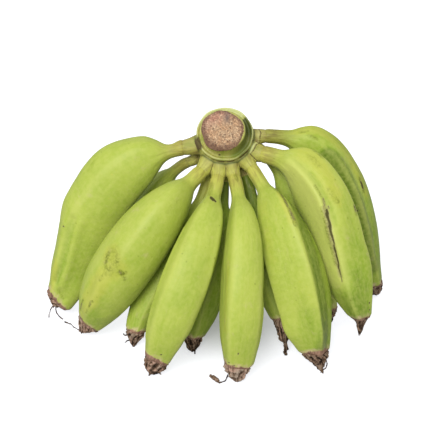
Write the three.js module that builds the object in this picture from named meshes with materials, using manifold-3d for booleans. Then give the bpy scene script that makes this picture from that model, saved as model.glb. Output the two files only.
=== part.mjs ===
// A hand of green cooking plantains, cut from its bunch: twelve fruits in two rows round a short
// length of the bunch's stalk, each with the dried remains of its flower.
// The hand stands on the fruits' ends, as it is set down on a table, and the stalk's cut end looks
// forward and up. Millimetres, +Z up, -Y to the front. The origin is on the table, under the middle
// of the hand.
import * as THREE from "three";
import { mergeVertices } from "three/addons/utils/BufferGeometryUtils.js";
import Module from "manifold-3d";

const wasm = await Module();
wasm.setup();

// ---- Driving sizes ----

const SEAM = 0.3; // gap between pieces that grow face to face

// The stalk. Its axis rises towards the front, and the fruits leave it square to that axis.
const STALK_CENTRE = new THREE.Vector3(6.5, 48, 176); // on the axis, level with the lip
const STALK_RISE = 46; // degrees that the axis climbs towards -Y
// Distance from the axis and distance along it from the lip: from the front cut, over the lip and
// the groove inside it, to the rear cut.
const STALK_OUTLINE = [
  [0, 15],
  [17.8, 15],
  [19.2, 13.4],
  [20.2, 6.4],
  [22.0, 2.8],
  [24.8, 2.4],
  [26.0, 0.6],
  [25.2, -2.2],
  [22.2, -4.4],
  [23.4, -10],
  [24.2, -22],
  [23.8, -32],
  [21.6, -42],
  [21.2, -52],
  [19.8, -54],
  [0, -54],
];
const STALK_SIDES = 28;

// The two rows of fruits: how far along the stalk each leaves it, and how far from the axis the
// fruits' own solids start.
const FRONT = { along: -11, start: 38 };
const BACK = { along: -28, start: 36 };
const WEB_FOOT = 11; // how far from the axis the crown's web under each stem starts
const WEB_SIZES = [1.9, 1.25, 1.06]; // its thickness from there out, as a share of the stem's
const WEB_SIDES = 12;

// How a fruit swells between the end of its stem, 0, and its own end, 1. Each row: the share of
// that length, then how far its side, back and belly stand out, from 0, the straight taper between
// its two ends, to 1, the fruit's full size.
const SWELL = [
  [0.0, 0.0, 0.0, 0.0],
  [0.05, 0.23, 0.42, 0.15],
  [0.1, 0.43, 0.76, 0.41],
  [0.17, 0.64, 0.94, 0.71],
  [0.27, 0.83, 1.02, 0.92],
  [0.41, 0.97, 1.0, 1.0],
  [0.56, 1.0, 0.94, 0.99],
  [0.7, 0.91, 0.8, 0.88],
  [0.82, 0.66, 0.57, 0.62],
  [0.91, 0.33, 0.3, 0.32],
  [1.0, 0.0, 0.0, 0.0],
];
const FACES = 4; // flat sides of a fruit, which meet in rounded ridges
const RIDGE_ROUND = 0.18; // how rounded the ridges are: 0 is sharp
const RING_POINTS = 20;
const STEM_RINGS = [0, 0.5]; // shares of the stem's length
const BODY_RINGS = [0, 0.045, 0.09, 0.145, 0.21, 0.29, 0.38, 0.48, 0.58, 0.67, 0.76, 0.84, 0.9, 0.95, 1];
const END_TURN = 0.82; // share of the fruit from which its sections turn to face the way it ends

// The dried remains of a flower, in four shapes: [share of its length, share of the fruit's end]
// for each ring.
const BLUNT = [[0, 0.96], [0.22, 0.88], [0.46, 0.76], [0.7, 0.6], [0.9, 0.38], [1, 0.2]];
const CONE = [[0, 0.97], [0.2, 0.9], [0.42, 0.7], [0.68, 0.48], [0.88, 0.3], [1, 0.14]];
const BEAK = [[0, 0.97], [0.1, 0.7], [0.3, 0.48], [0.55, 0.34], [0.8, 0.22], [1, 0.1]];
const TUBE = [[0, 0.97], [0.12, 0.84], [0.42, 0.7], [0.66, 0.6], [0.78, 0.26], [0.9, 0.2], [1, 0.26]];
const REMAINS_SIDES = 12;
const CRUMPLE = 0.11; // how far the remains' skin is crumpled, as a share of its size

// Each fruit. fan: where its stem leaves the stalk, in degrees round the axis, 0 to the right and
// 270 down. stem, neck: the stem's length and half its thickness. half: half the fruit's width and
// half its depth. end: half the thickness of its own end. lag: 1, or more where its bulk lies nearer
// to its own end, or less where it lies nearer to its stem. roll: how many degrees its ridges are
// turned. flat: how far a face's middle lies in from the ridges' round, as a share of its size.
// bend: the point that its stem heads for. fall: the point that its end hangs from. tip: the middle
// of its end. faces: the way its end faces. dried: its flower's remains, and how far they reach from
// its end.
const FRUITS = [
  {
    name: "front_1", row: FRONT, fan: 192, stem: 18, neck: 7.2,
    half: [24.5, 29.3], end: 14.2, lag: 0.9, roll: 30, flat: 0.08,
    bend: [-119, 53, 146], fall: [-120.5, 34, 75], tip: [-154, 20, 13.5],
    faces: [-0.7, -0.2, -0.8], dried: [CONE, 9],
  },
  {
    name: "front_2", row: FRONT, fan: 236, stem: 19, neck: 7,
    half: [28.5, 28.2], end: 13.2, lag: 1, roll: 2, flat: 0.08,
    bend: [-56, -12, 126], fall: [-91.5, -32, 79], tip: [-120, -19, 14],
    faces: [-0.6, -0.2, -0.8], dried: [CONE, 12],
  },
  {
    name: "front_3", row: FRONT, fan: 261, stem: 23, neck: 6.4,
    half: [23.5, 26], end: 12.8, lag: 1.12, roll: 40, flat: 0.12,
    bend: [-10, -36, 119], fall: [-36, -72, 78], tip: [-53, -78, 15],
    faces: [-0.2, -0.3, -1], dried: [BLUNT, 17],
  },
  {
    name: "front_4", row: FRONT, fan: 284, stem: 25, neck: 6.2,
    half: [19.8, 25.5], end: 12.8, lag: 1.08, roll: 40, flat: 0.14,
    bend: [28, -37, 123], fall: [18, -78, 80], tip: [18, -87, 15],
    faces: [0, -0.2, -1], dried: [BLUNT, 17],
  },
  {
    name: "front_5", row: FRONT, fan: 312, stem: 25, neck: 6.2,
    half: [27.5, 28.5], end: 13, lag: 1.1, roll: 86, flat: 0.2,
    bend: [60, -18, 126], fall: [75.5, -58, 81], tip: [89, -64, 17],
    faces: [0.2, -0.2, -1], dried: [CONE, 19],
  },
  {
    name: "front_6", row: FRONT, fan: 338, stem: 19, neck: 8,
    half: [25, 28], end: 10.2, lag: 1, roll: 78, flat: 0.16,
    bend: [116, 14, 156], fall: [110, -22, 88], tip: [131, -42, 35],
    faces: [0.1, -0.3, -1], dried: [BEAK, 17],
  },
  {
    name: "front_7", row: FRONT, fan: 365, stem: 25, neck: 6.4,
    half: [20.5, 27], end: 11.8, lag: 0.86, roll: 58, flat: 0.14,
    bend: [119, 64, 168], fall: [123, 44, 80], tip: [153, 47, 14],
    faces: [0.2, 0, -1], dried: [BLUNT, 16],
  },
  {
    name: "back_1", row: BACK, fan: 206, stem: 26, neck: 5,
    half: [16.3, 19.3], end: 8.6, lag: 1, roll: 40, flat: 0.12,
    bend: [-60, 80, 118], fall: [-86, 70, 48], tip: [-126, 22, 13],
    faces: [0.2, 0.2, -1], dried: [CONE, 14],
  },
  {
    name: "back_2", row: BACK, fan: 245, stem: 24, neck: 5.4,
    half: [17.3, 19.3], end: 9.6, lag: 1, roll: 40, flat: 0.12,
    bend: [-19, 20, 96], fall: [-56, -3, 51], tip: [-76, -34, 14],
    faces: [-0.3, -0.2, -1], dried: [CONE, 16],
  },
  {
    name: "back_3", row: BACK, fan: 269, stem: 24, neck: 5.4,
    half: [17.3, 19.3], end: 9.2, lag: 1, roll: 40, flat: 0.12,
    bend: [6, 16, 100], fall: [-8, -32, 52], tip: [-22, -43, 14],
    faces: [-0.1, -0.2, -1], dried: [BLUNT, 16],
  },
  {
    name: "back_4", row: BACK, fan: 304, stem: 24, neck: 5.4,
    half: [15.3, 18.3], end: 8.8, lag: 1, roll: 40, flat: 0.12,
    bend: [40, 19, 100], fall: [44.5, -8, 58], tip: [58.5, -38, 31],
    faces: [0.25, -0.3, -1], dried: [TUBE, 31],
  },
  {
    name: "back_5", row: BACK, fan: 352, stem: 24, neck: 5.2,
    half: [17.3, 19.3], end: 9, lag: 1, roll: 40, flat: 0.12,
    bend: [72, 44, 130], fall: [92, 24, 60], tip: [107, 4, 14],
    faces: [0.1, 0, -1], dried: [CONE, 16],
  },
];

// ---- Directions round the stalk ----

const radians = THREE.MathUtils.degToRad;
const RISE = radians(STALK_RISE);
const AXIS = new THREE.Vector3(0, -Math.cos(RISE), Math.sin(RISE));
const ACROSS = new THREE.Vector3(1, 0, 0);
const UPWARD = new THREE.Vector3(0, Math.sin(RISE), Math.cos(RISE));

// The point at `degrees` round the stalk, `reach` from its axis and `along` from the lip.
function roundStalk(degrees, reach, along) {
  return STALK_CENTRE.clone()
    .addScaledVector(AXIS, along)
    .addScaledVector(ACROSS, reach * Math.cos(radians(degrees)))
    .addScaledVector(UPWARD, reach * Math.sin(radians(degrees)));
}

// ---- Solids ----

// A closed skin over rings of points, with a fan of triangles on each end.
function loft(rings) {
  const count = rings[0].length;
  const middle = (ring) => ring.reduce((sum, p) => sum.add(p), new THREE.Vector3()).divideScalar(count);
  const points = [...rings.flat(), middle(rings[0]), middle(rings.at(-1))];
  const last = (rings.length - 1) * count;
  const faces = [];
  for (let i = 0; i < count; i++) {
    const next = (i + 1) % count;
    for (let r = 0; r < last; r += count) {
      faces.push(r + i, r + next, r + count + next, r + i, r + count + next, r + count + i);
    }
    faces.push(points.length - 2, next, i, points.length - 1, last + i, last + next);
  }
  return new THREE.BufferGeometry().setFromPoints(points).setIndex(faces);
}

function toSolid(geometry) {
  const bare = geometry.clone();
  bare.deleteAttribute("normal");
  bare.deleteAttribute("uv");
  const merged = mergeVertices(bare, 1e-4);
  return new wasm.Manifold(
    new wasm.Mesh({
      numProp: 3,
      vertProperties: merged.attributes.position.array,
      triVerts: new Uint32Array(merged.index.array),
    }),
  );
}

function toGeometry(solid) {
  const mesh = solid.getMesh();
  return new THREE.BufferGeometry()
    .setAttribute("position", new THREE.BufferAttribute(mesh.vertProperties, 3))
    .setIndex(new THREE.BufferAttribute(mesh.triVerts, 1));
}

// What stands above the table of a solid that the hand's weight presses flat on it.
function pressed(geometry) {
  const above = new THREE.BoxGeometry(600, 600, 600).translate(0, 0, 300);
  return toGeometry(toSolid(geometry).intersect(toSolid(above)));
}

// The value at `at` in a column of a table of stations, on a smooth curve through them.
function along(table, column, at) {
  const last = table.length - 1;
  const i = Math.min(last - 1, table.findLastIndex((row) => row[0] <= at));
  const slope = (k) => {
    const [a, b] = [table[Math.max(0, k - 1)], table[Math.min(last, k + 1)]];
    return (b[column] - a[column]) / (b[0] - a[0]);
  };
  const [from, to] = [table[i], table[i + 1]];
  const span = to[0] - from[0];
  const t = (at - from[0]) / span;
  const [t2, t3] = [t * t, t * t * t];
  return (
    (2 * t3 - 3 * t2 + 1) * from[column] +
    (t3 - 2 * t2 + t) * span * slope(i) +
    (3 * t2 - 2 * t3) * to[column] +
    (t3 - t2) * span * slope(i + 1)
  );
}

// One section's points: `size` holds its half widths to the side, the back and the belly.
function section(centre, way, back, size, roll, faceDepth, count) {
  const up = back.clone().addScaledVector(way, -back.dot(way)).normalize();
  const side = up.clone().cross(way).normalize();
  const ring = [];
  for (let i = 0; i < count; i++) {
    const turn = (i / count) * 2 * Math.PI;
    const angle = turn + radians(roll);
    const face = Math.hypot(Math.sin((FACES / 2) * turn), RIDGE_ROUND) - RIDGE_ROUND;
    const out = 1 - faceDepth * face;
    const depth = Math.sin(angle) > 0 ? size.back : size.belly;
    const point = centre.clone().addScaledVector(side, Math.cos(angle) * size.side * out);
    ring.push(point.addScaledVector(up, Math.sin(angle) * depth * out));
  }
  return ring;
}

// ---- A fruit ----

// The curve down a fruit's middle, and the way that its back looks.
function spineOf(fruit) {
  const root = roundStalk(fruit.fan, fruit.row.start, fruit.row.along);
  const [bend, fall, tip] = [fruit.bend, fruit.fall, fruit.tip].map((p) => new THREE.Vector3(...p));
  const back = bend.clone().add(fall).sub(root).sub(tip).normalize();
  return { root, bend, tip, back, curve: new THREE.CubicBezierCurve3(root, bend, fall, tip) };
}

// Half widths of a fruit at a share of its body, from the end of its stem to its own end.
function sizeOf(fruit, at) {
  const base = THREE.MathUtils.lerp(fruit.neck, fruit.end, at);
  const grown = (column, full) => base + (full - base) * along(SWELL, column, at ** fruit.lag);
  return { side: grown(1, fruit.half[0]), back: grown(2, fruit.half[1]), belly: grown(3, fruit.half[1]) };
}

function fruitGeometry(fruit) {
  const { curve, back } = spineOf(fruit);
  const stem = fruit.stem / curve.getLength();
  const faces = new THREE.Vector3(...fruit.faces).normalize();
  const neck = { side: fruit.neck, back: fruit.neck, belly: fruit.neck };
  const rings = STEM_RINGS.map((share) => {
    const at = share * stem;
    return section(curve.getPointAt(at), curve.getTangentAt(at), back, neck, fruit.roll, 0, RING_POINTS);
  });
  for (const share of BODY_RINGS) {
    const at = stem + share * (1 - stem);
    const turned = THREE.MathUtils.smoothstep(share, END_TURN, 1);
    const way = curve.getTangentAt(at).lerp(faces, turned).normalize();
    const depth = fruit.flat * THREE.MathUtils.smoothstep(share, 0, 0.1);
    const size = sizeOf(fruit, share);
    rings.push(section(curve.getPointAt(at), way, back, size, fruit.roll, depth, RING_POINTS));
  }
  return loft(rings);
}

// The dried flower on a fruit's end, from the seam outwards.
function remainsGeometry(fruit, index) {
  const { tip, back } = spineOf(fruit);
  const way = new THREE.Vector3(...fruit.faces).normalize();
  const size = sizeOf(fruit, 1);
  const [shape, reach] = fruit.dried;
  const rings = shape.map(([share, width], row) => {
    const centre = tip.clone().addScaledVector(way, SEAM + share * reach);
    const shrunk = { side: size.side * width, back: size.back * width, belly: size.belly * width };
    const ring = section(centre, way, back, shrunk, fruit.roll, 0, REMAINS_SIDES);
    return ring.map((point, i) => {
      const turn = (i / REMAINS_SIDES) * 2 * Math.PI;
      const fold = Math.sin(3 * turn + index * 1.7) + Math.sin(5 * turn + index * 2.9 + row);
      return row === 0 ? point : point.lerp(centre, CRUMPLE * fold);
    });
  });
  return pressed(loft(rings));
}

// ---- The stalk ----

// The web of the crown that carries one fruit's stem.
function webGeometry(fruit) {
  const { root, back, bend } = spineOf(fruit);
  const foot = roundStalk(fruit.fan, WEB_FOOT, fruit.row.along);
  const out = bend.clone().sub(root).normalize();
  const end = root.clone().addScaledVector(out, -SEAM);
  const middle = foot.clone().lerp(end, 0.6);
  const rings = [foot, middle, end].map((centre, i) => {
    const size = fruit.neck * WEB_SIZES[i];
    const way = i === 2 ? out : end.clone().sub(foot).normalize();
    return section(centre, way, back, { side: size, back: size, belly: size }, 0, 0, WEB_SIDES);
  });
  return loft(rings);
}

function stalkGeometry() {
  const outline = STALK_OUTLINE.map(([radius, height]) => new THREE.Vector2(radius, height)).reverse();
  const turned = new THREE.LatheGeometry(outline, STALK_SIDES);
  const place = new THREE.Matrix4().makeBasis(ACROSS, AXIS, ACROSS.clone().cross(AXIS));
  turned.applyMatrix4(place.setPosition(STALK_CENTRE));
  let solid = toSolid(turned);
  for (const fruit of FRUITS) solid = solid.add(toSolid(webGeometry(fruit)));
  return toGeometry(solid);
}

// ---- The hand ----

const GREEN = new THREE.MeshStandardMaterial({ color: 0xb4cf55, roughness: 0.55, metalness: 0 });
const STALK_GREEN = new THREE.MeshStandardMaterial({ color: 0xa3a855, roughness: 0.7, metalness: 0 });
const DRIED_BROWN = new THREE.MeshStandardMaterial({ color: 0x6b5644, roughness: 0.95, metalness: 0 });

const hand = new THREE.Group();

function add(name, geometry, material) {
  const mesh = new THREE.Mesh(geometry, material);
  mesh.name = name;
  hand.add(mesh);
}

add("stalk", stalkGeometry(), STALK_GREEN);
FRUITS.forEach((fruit, index) => {
  add("fruit_" + fruit.name, fruitGeometry(fruit), GREEN);
  add("flower_end_" + fruit.name, remainsGeometry(fruit, index), DRIED_BROWN);
});

export default hand;
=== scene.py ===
"""A hand of green plantains, standing on the dried flower ends of its fruits.

Lengths are in millimetres unless a comment says otherwise: they turn into metres where a mesh is made.
The hand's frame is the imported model's: +Z up, and the stalk's cut face looks forward, towards -Y, and
up.
"""

import logging
import math
from dataclasses import dataclass, field
from enum import Enum
from typing import Sequence

import bpy
import numpy as np
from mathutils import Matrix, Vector, noise


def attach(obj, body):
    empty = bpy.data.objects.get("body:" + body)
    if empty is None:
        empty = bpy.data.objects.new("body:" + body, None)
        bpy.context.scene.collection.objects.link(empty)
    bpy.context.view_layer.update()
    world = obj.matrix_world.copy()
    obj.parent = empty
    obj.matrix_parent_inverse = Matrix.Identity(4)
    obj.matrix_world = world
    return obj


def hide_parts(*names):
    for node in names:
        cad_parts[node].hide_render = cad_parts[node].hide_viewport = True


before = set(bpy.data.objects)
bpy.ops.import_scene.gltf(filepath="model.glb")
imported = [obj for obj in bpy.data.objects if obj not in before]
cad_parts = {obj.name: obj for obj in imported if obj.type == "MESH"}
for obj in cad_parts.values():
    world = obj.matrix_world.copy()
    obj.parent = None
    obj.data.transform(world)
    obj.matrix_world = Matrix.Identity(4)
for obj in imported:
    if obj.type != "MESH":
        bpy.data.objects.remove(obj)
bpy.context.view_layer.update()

log = logging.getLogger("hand")

MM = 0.001
Point = tuple[float, float, float]
Colour = tuple[float, float, float]
Places = tuple[tuple[float, float], ...]  # places on a fruit's skin: its share and the degrees round it
Socket = bpy.types.NodeSocket

# ---- The stalk's direction, and the swelling that every fruit shares ----

STALK_CENTRE = np.array([6.5, 48.0, 176.0])  # on the stalk's axis, level with the lip
STALK_RISE = math.radians(46)
AXIS = np.array([0.0, -math.cos(STALK_RISE), math.sin(STALK_RISE)])
ACROSS = np.array([1.0, 0.0, 0.0])
UPWARD = np.array([0.0, math.sin(STALK_RISE), math.cos(STALK_RISE)])

FACES = 4  # flat sides of a fruit
END_TURN = 0.82  # share of the fruit from which its sections turn to face the way it ends
RING_SHIFT = 0.035  # how far its rings are drawn towards its middle, as a share of its length
BODY_ONSET = 0.035  # how softly the body begins at the stem, as a share of its length
ONSET_SHIFT = 0.0006  # and what is taken off to bring that share back towards 0 up the stem
PATTERN_RADIUS = 22.0  # the round skin that the peel's patterns are laid on
PATTERN_STEP = 53.0  # how far apart two fruits lie in those patterns
CLEARANCE = 0.3  # the least height of the peel over the floor

# Share of the fruit's body, then how far its side, back and belly have swollen.
SWELL = np.array([
    [0.0, 0.0, 0.0, 0.0],
    [0.05, 0.23, 0.42, 0.15],
    [0.1, 0.43, 0.76, 0.41],
    [0.17, 0.64, 0.94, 0.71],
    [0.27, 0.83, 1.02, 0.92],
    [0.41, 0.97, 1.0, 1.0],
    [0.56, 1.0, 0.94, 0.99],
    [0.7, 0.91, 0.8, 0.88],
    [0.82, 0.66, 0.57, 0.62],
    [0.91, 0.33, 0.3, 0.32],
    [1.0, 0.0, 0.0, 0.0],
])
START_SLOPE = 0.35  # how steeply a curve through stations starts, against its first step


class Row(Enum):
    """The two rows of fruits: how far along the stalk they leave it, and how far from its axis."""

    FRONT = (-11.0, 38.0)
    BACK = (-28.0, 36.0)


class DriedShape(Enum):
    """How a dried flower tapers: share of its length, share of the fruit's end."""

    BLUNT = ((0, 0.96), (0.22, 0.88), (0.46, 0.76), (0.7, 0.6), (0.9, 0.38), (1, 0.2))
    CONE = ((0, 0.97), (0.2, 0.9), (0.42, 0.7), (0.68, 0.48), (0.88, 0.3), (1, 0.14))
    BEAK = ((0, 0.97), (0.1, 0.7), (0.3, 0.48), (0.55, 0.34), (0.8, 0.22), (1, 0.1))
    TUBE = ((0, 0.97), (0.12, 0.84), (0.42, 0.7), (0.66, 0.6), (0.78, 0.26), (0.9, 0.2), (1, 0.26))


class Flaw(Enum):
    """What a mark on the peel is: the mesh attribute that carries it, which for two kinds is painted shade
    and painted light.
    """

    SCAR = "scar"
    RUB = "rub"
    BLUSH = "blush"
    # painted shade, and painted light where a mark's strength is negative
    SHADE = "deep"
    # painted light, laid on the pale ridge lines' values
    PAINTED_LIGHT = "ridge"


STEM_GREEN: Colour = (0.52, 0.52, 0.1)  # the stems and the crown's webs, where they are freshest
STEM_BROWN: Colour = (0.24, 0.18, 0.05)  # and where they are brownest


# ---- Curves and noise ----


def smooth(value: np.ndarray | float, low: float, high: float) -> np.ndarray:
    """A soft step.

    Args:
        value: where to read it.
        low: where it leaves 0.
        high: where it reaches 1.

    Returns:
        The step's value, from 0 to 1.
    """
    t = np.clip((np.asarray(value, float) - low) / (high - low), 0, 1)
    return t * t * (3 - 2 * t)


def plateau(value: np.ndarray, rise: tuple[float, float], fall: tuple[float, float]) -> np.ndarray:
    """A soft step up over one range and down again over another."""
    return smooth(value, *rise) * (1 - smooth(value, *fall))


def hump(value: np.ndarray, centre: float, width: float) -> np.ndarray:
    """A bell: 1 at its centre, and next to nothing two widths away."""
    return np.exp(-(((value - centre) / width) ** 2))


def once_round(count: int) -> np.ndarray:
    """Even turns round a ring, in radians."""
    return np.linspace(0, 2 * math.pi, count, endpoint=False)


def around(turn: np.ndarray) -> np.ndarray:
    """The unit circle's points at each turn."""
    return np.stack([np.cos(turn), np.sin(turn), 0 * turn], axis=-1)


def on_tube(run: np.ndarray, turn: np.ndarray, radius: float) -> np.ndarray:
    """Places on a round tube: how far down it, then across it and up."""
    run, turn = np.broadcast_arrays(run, turn)
    return np.stack([run, np.cos(turn) * radius, np.sin(turn) * radius], axis=-1)


def waves(turn: np.ndarray, *parts: tuple[float, float, float]) -> np.ndarray:
    """A sum of waves round a ring, each with its height, its number and its phase."""
    return sum(height * np.sin(number * turn + phase) for height, number, phase in parts)


def on_curve(table: np.ndarray, column: int, at: np.ndarray) -> np.ndarray:
    """Reads a table of stations on a smooth curve through them.

    Args:
        table: rows of stations, each with its share first.
        column: the column to read.
        at: the shares to read it at.

    Returns:
        The column's value at each share.
    """
    x, y = table[:, 0], table[:, column]
    last = len(x) - 1
    low, high = np.maximum(np.arange(last + 1) - 1, 0), np.minimum(np.arange(last + 1) + 1, last)
    slope = (y[high] - y[low]) / (x[high] - x[low])
    slope[0] *= START_SLOPE
    i = np.clip(np.searchsorted(x, at, side="right") - 1, 0, last - 1)
    span = x[i + 1] - x[i]
    t = (at - x[i]) / span
    return (
        (2 * t**3 - 3 * t**2 + 1) * y[i]
        + (t**3 - 2 * t**2 + t) * span * slope[i]
        + (3 * t**2 - 2 * t**3) * y[i + 1]
        + (t**3 - t**2) * span * slope[i + 1]
    )


def lumps(points: np.ndarray, size: float, seed: float = 0.0) -> np.ndarray:
    """Smooth noise at each point.

    Args:
        points: where to read it.
        size: the lumps' size.
        seed: which field of lumps.

    Returns:
        One value a point, from about -1 to 1.
    """
    flat = points.reshape(-1, 3) / size + seed * 7.3
    values = np.fromiter((noise.noise(p) for p in flat.tolist()), float, len(flat))
    return values.reshape(points.shape[:-1])


def unit(vector: np.ndarray) -> np.ndarray:
    """The vectors at length 1."""
    return vector / np.linalg.norm(vector, axis=-1, keepdims=True)


def round_stalk(degrees: float, reach: float, along: float) -> np.ndarray:
    """A point round the stalk.

    Args:
        degrees: the way round the axis, 0 to the right and 270 down.
        reach: its distance from the axis.
        along: its distance along the axis from the lip.

    Returns:
        The point.
    """
    turn = math.radians(degrees)
    return STALK_CENTRE + AXIS * along + ACROSS * reach * math.cos(turn) + UPWARD * reach * math.sin(turn)


def turned_from(turn: np.ndarray, bearing: float) -> np.ndarray:
    """How far round from a bearing each turn is, in radians, from minus to plus half a turn."""
    return np.mod(turn - bearing + math.pi, 2 * math.pi) - math.pi


# ---- Skins and pieces ----


def make_object(
    name: str, points: np.ndarray, faces: Sequence[Sequence[int]], values: dict[str, np.ndarray]
) -> bpy.types.Object:
    """Makes a smooth mesh object with values on its points.

    Args:
        name: the object's name.
        points: its points.
        faces: the points of each face.
        values: what to store on the points, one number or one vector each.

    Returns:
        The object, linked to the scene.
    """
    mesh = bpy.data.meshes.new(name)
    mesh.from_pydata((points * MM).tolist(), [], faces)
    for key, column in values.items():
        kind, field_name = ("FLOAT_VECTOR", "vector") if column.ndim == 2 else ("FLOAT", "value")
        store = mesh.attributes.new(key, kind, "POINT")
        store.data.foreach_set(field_name, column.astype(np.float32).ravel())
    mesh.shade_smooth()
    mesh.update()
    obj = bpy.data.objects.new(name, mesh)
    bpy.context.scene.collection.objects.link(obj)
    return obj


@dataclass(frozen=True)
class Dress:
    """What a piece wears: its material, and a slot name for it, which this script doesn't use."""

    material: bpy.types.Material
    slot: str

    def make_piece(
        self,
        name: str,
        node: str,
        points: np.ndarray,
        faces: Sequence[Sequence[int]],
        values: dict[str, np.ndarray],
    ) -> bpy.types.Object:
        """Makes a dressed piece of the hand, in place of a node.

        Args:
            name: the piece's name.
            node: the node that it stands for.
            points: its points.
            faces: the points of each face.
            values: what its finish reads at each point.

        Returns:
            The piece.
        """
        piece = make_object(name, points, faces, values)
        piece.data.materials.append(self.material)
        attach(piece, "root")
        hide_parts(node)
        log.info("piece %s for %s", name, node)
        return piece

    def make_closed(
        self, name: str, node: str, rings: np.ndarray, values: dict[str, np.ndarray]
    ) -> bpy.types.Object:
        """Makes a dressed piece over one stack of rings.

        Args:
            name: the piece's name.
            node: the node that it stands for.
            rings: its points, by ring and place in the ring.
            values: what its finish reads, in the same order.

        Returns:
            The piece.
        """
        skin = Skin()
        skin.add_rings(rings)
        stored = {key: with_ends(grid) for key, grid in values.items()}
        return self.make_piece(name, node, skin.all_points(), skin.faces, stored)


@dataclass
class Skin:
    """A closed skin over rings of points, which grows as stacks of rings are added."""

    points: list[np.ndarray] = field(default_factory=list)
    faces: list[list[int]] = field(default_factory=list)
    count: int = 0

    def add_rings(self, rings: np.ndarray) -> None:
        """Adds a tube over rings of points, closed with a fan at each end.

        Args:
            rings: the points, by ring and place in the ring.
        """
        number, sides = rings.shape[:2]
        base = self.count
        i = np.arange(sides)
        n = (i + 1) % sides
        for r in range(number - 1):
            a, b = base + r * sides, base + (r + 1) * sides
            self.faces.extend(np.stack([a + i, a + n, b + n, b + i], axis=1).tolist())
        ends = (base + number * sides, base + number * sides + 1)
        last = base + (number - 1) * sides
        for k in range(sides):
            self.faces.append([ends[0], base + int(n[k]), base + k])
            self.faces.append([ends[1], last + k, last + int(n[k])])
        self.points.append(with_ends(rings))
        self.count += number * sides + 2

    def all_points(self) -> np.ndarray:
        """Every point so far."""
        return np.concatenate(self.points)


def with_ends(grid: np.ndarray) -> np.ndarray:
    """Lays a stack of rings out in one row, with the middles of its two ends after them.

    Args:
        grid: the rings' points or values, by ring and place in the ring.

    Returns:
        The row.
    """
    ends = np.stack([grid[0].mean(axis=0), grid[-1].mean(axis=0)])
    return np.concatenate([grid.reshape(-1, *grid.shape[2:]), ends])


def tube_rings(path: np.ndarray, radii: np.ndarray, sides: int) -> np.ndarray:
    """Rings of a round tube.

    Args:
        path: the points down its middle.
        radii: its radius at each.
        sides: points in a ring.

    Returns:
        The rings' points.
    """
    lead = np.array([0.31, 0.22, 0.93])  # a way that no tube here runs in
    way = unit(np.gradient(path, axis=0))
    side = unit(np.cross(way, lead))
    up = np.cross(side, way)
    turn = once_round(sides)
    ring = side[:, None] * np.cos(turn)[None, :, None] + up[:, None] * np.sin(turn)[None, :, None]
    return path[:, None] + ring * radii[:, None, None]


def smooth_path(points: Sequence[Point], count: int) -> np.ndarray:
    """A smooth path through a few points.

    Args:
        points: the points.
        count: how many points the path gets.

    Returns:
        The path's points.
    """
    table = np.concatenate([np.linspace(0, 1, len(points))[:, None], np.array(points, float)], axis=1)
    at = np.linspace(0, 1, count)
    return np.stack([on_curve(table, k, at) for k in (1, 2, 3)], axis=1)


# ---- Shader trees ----


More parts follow.
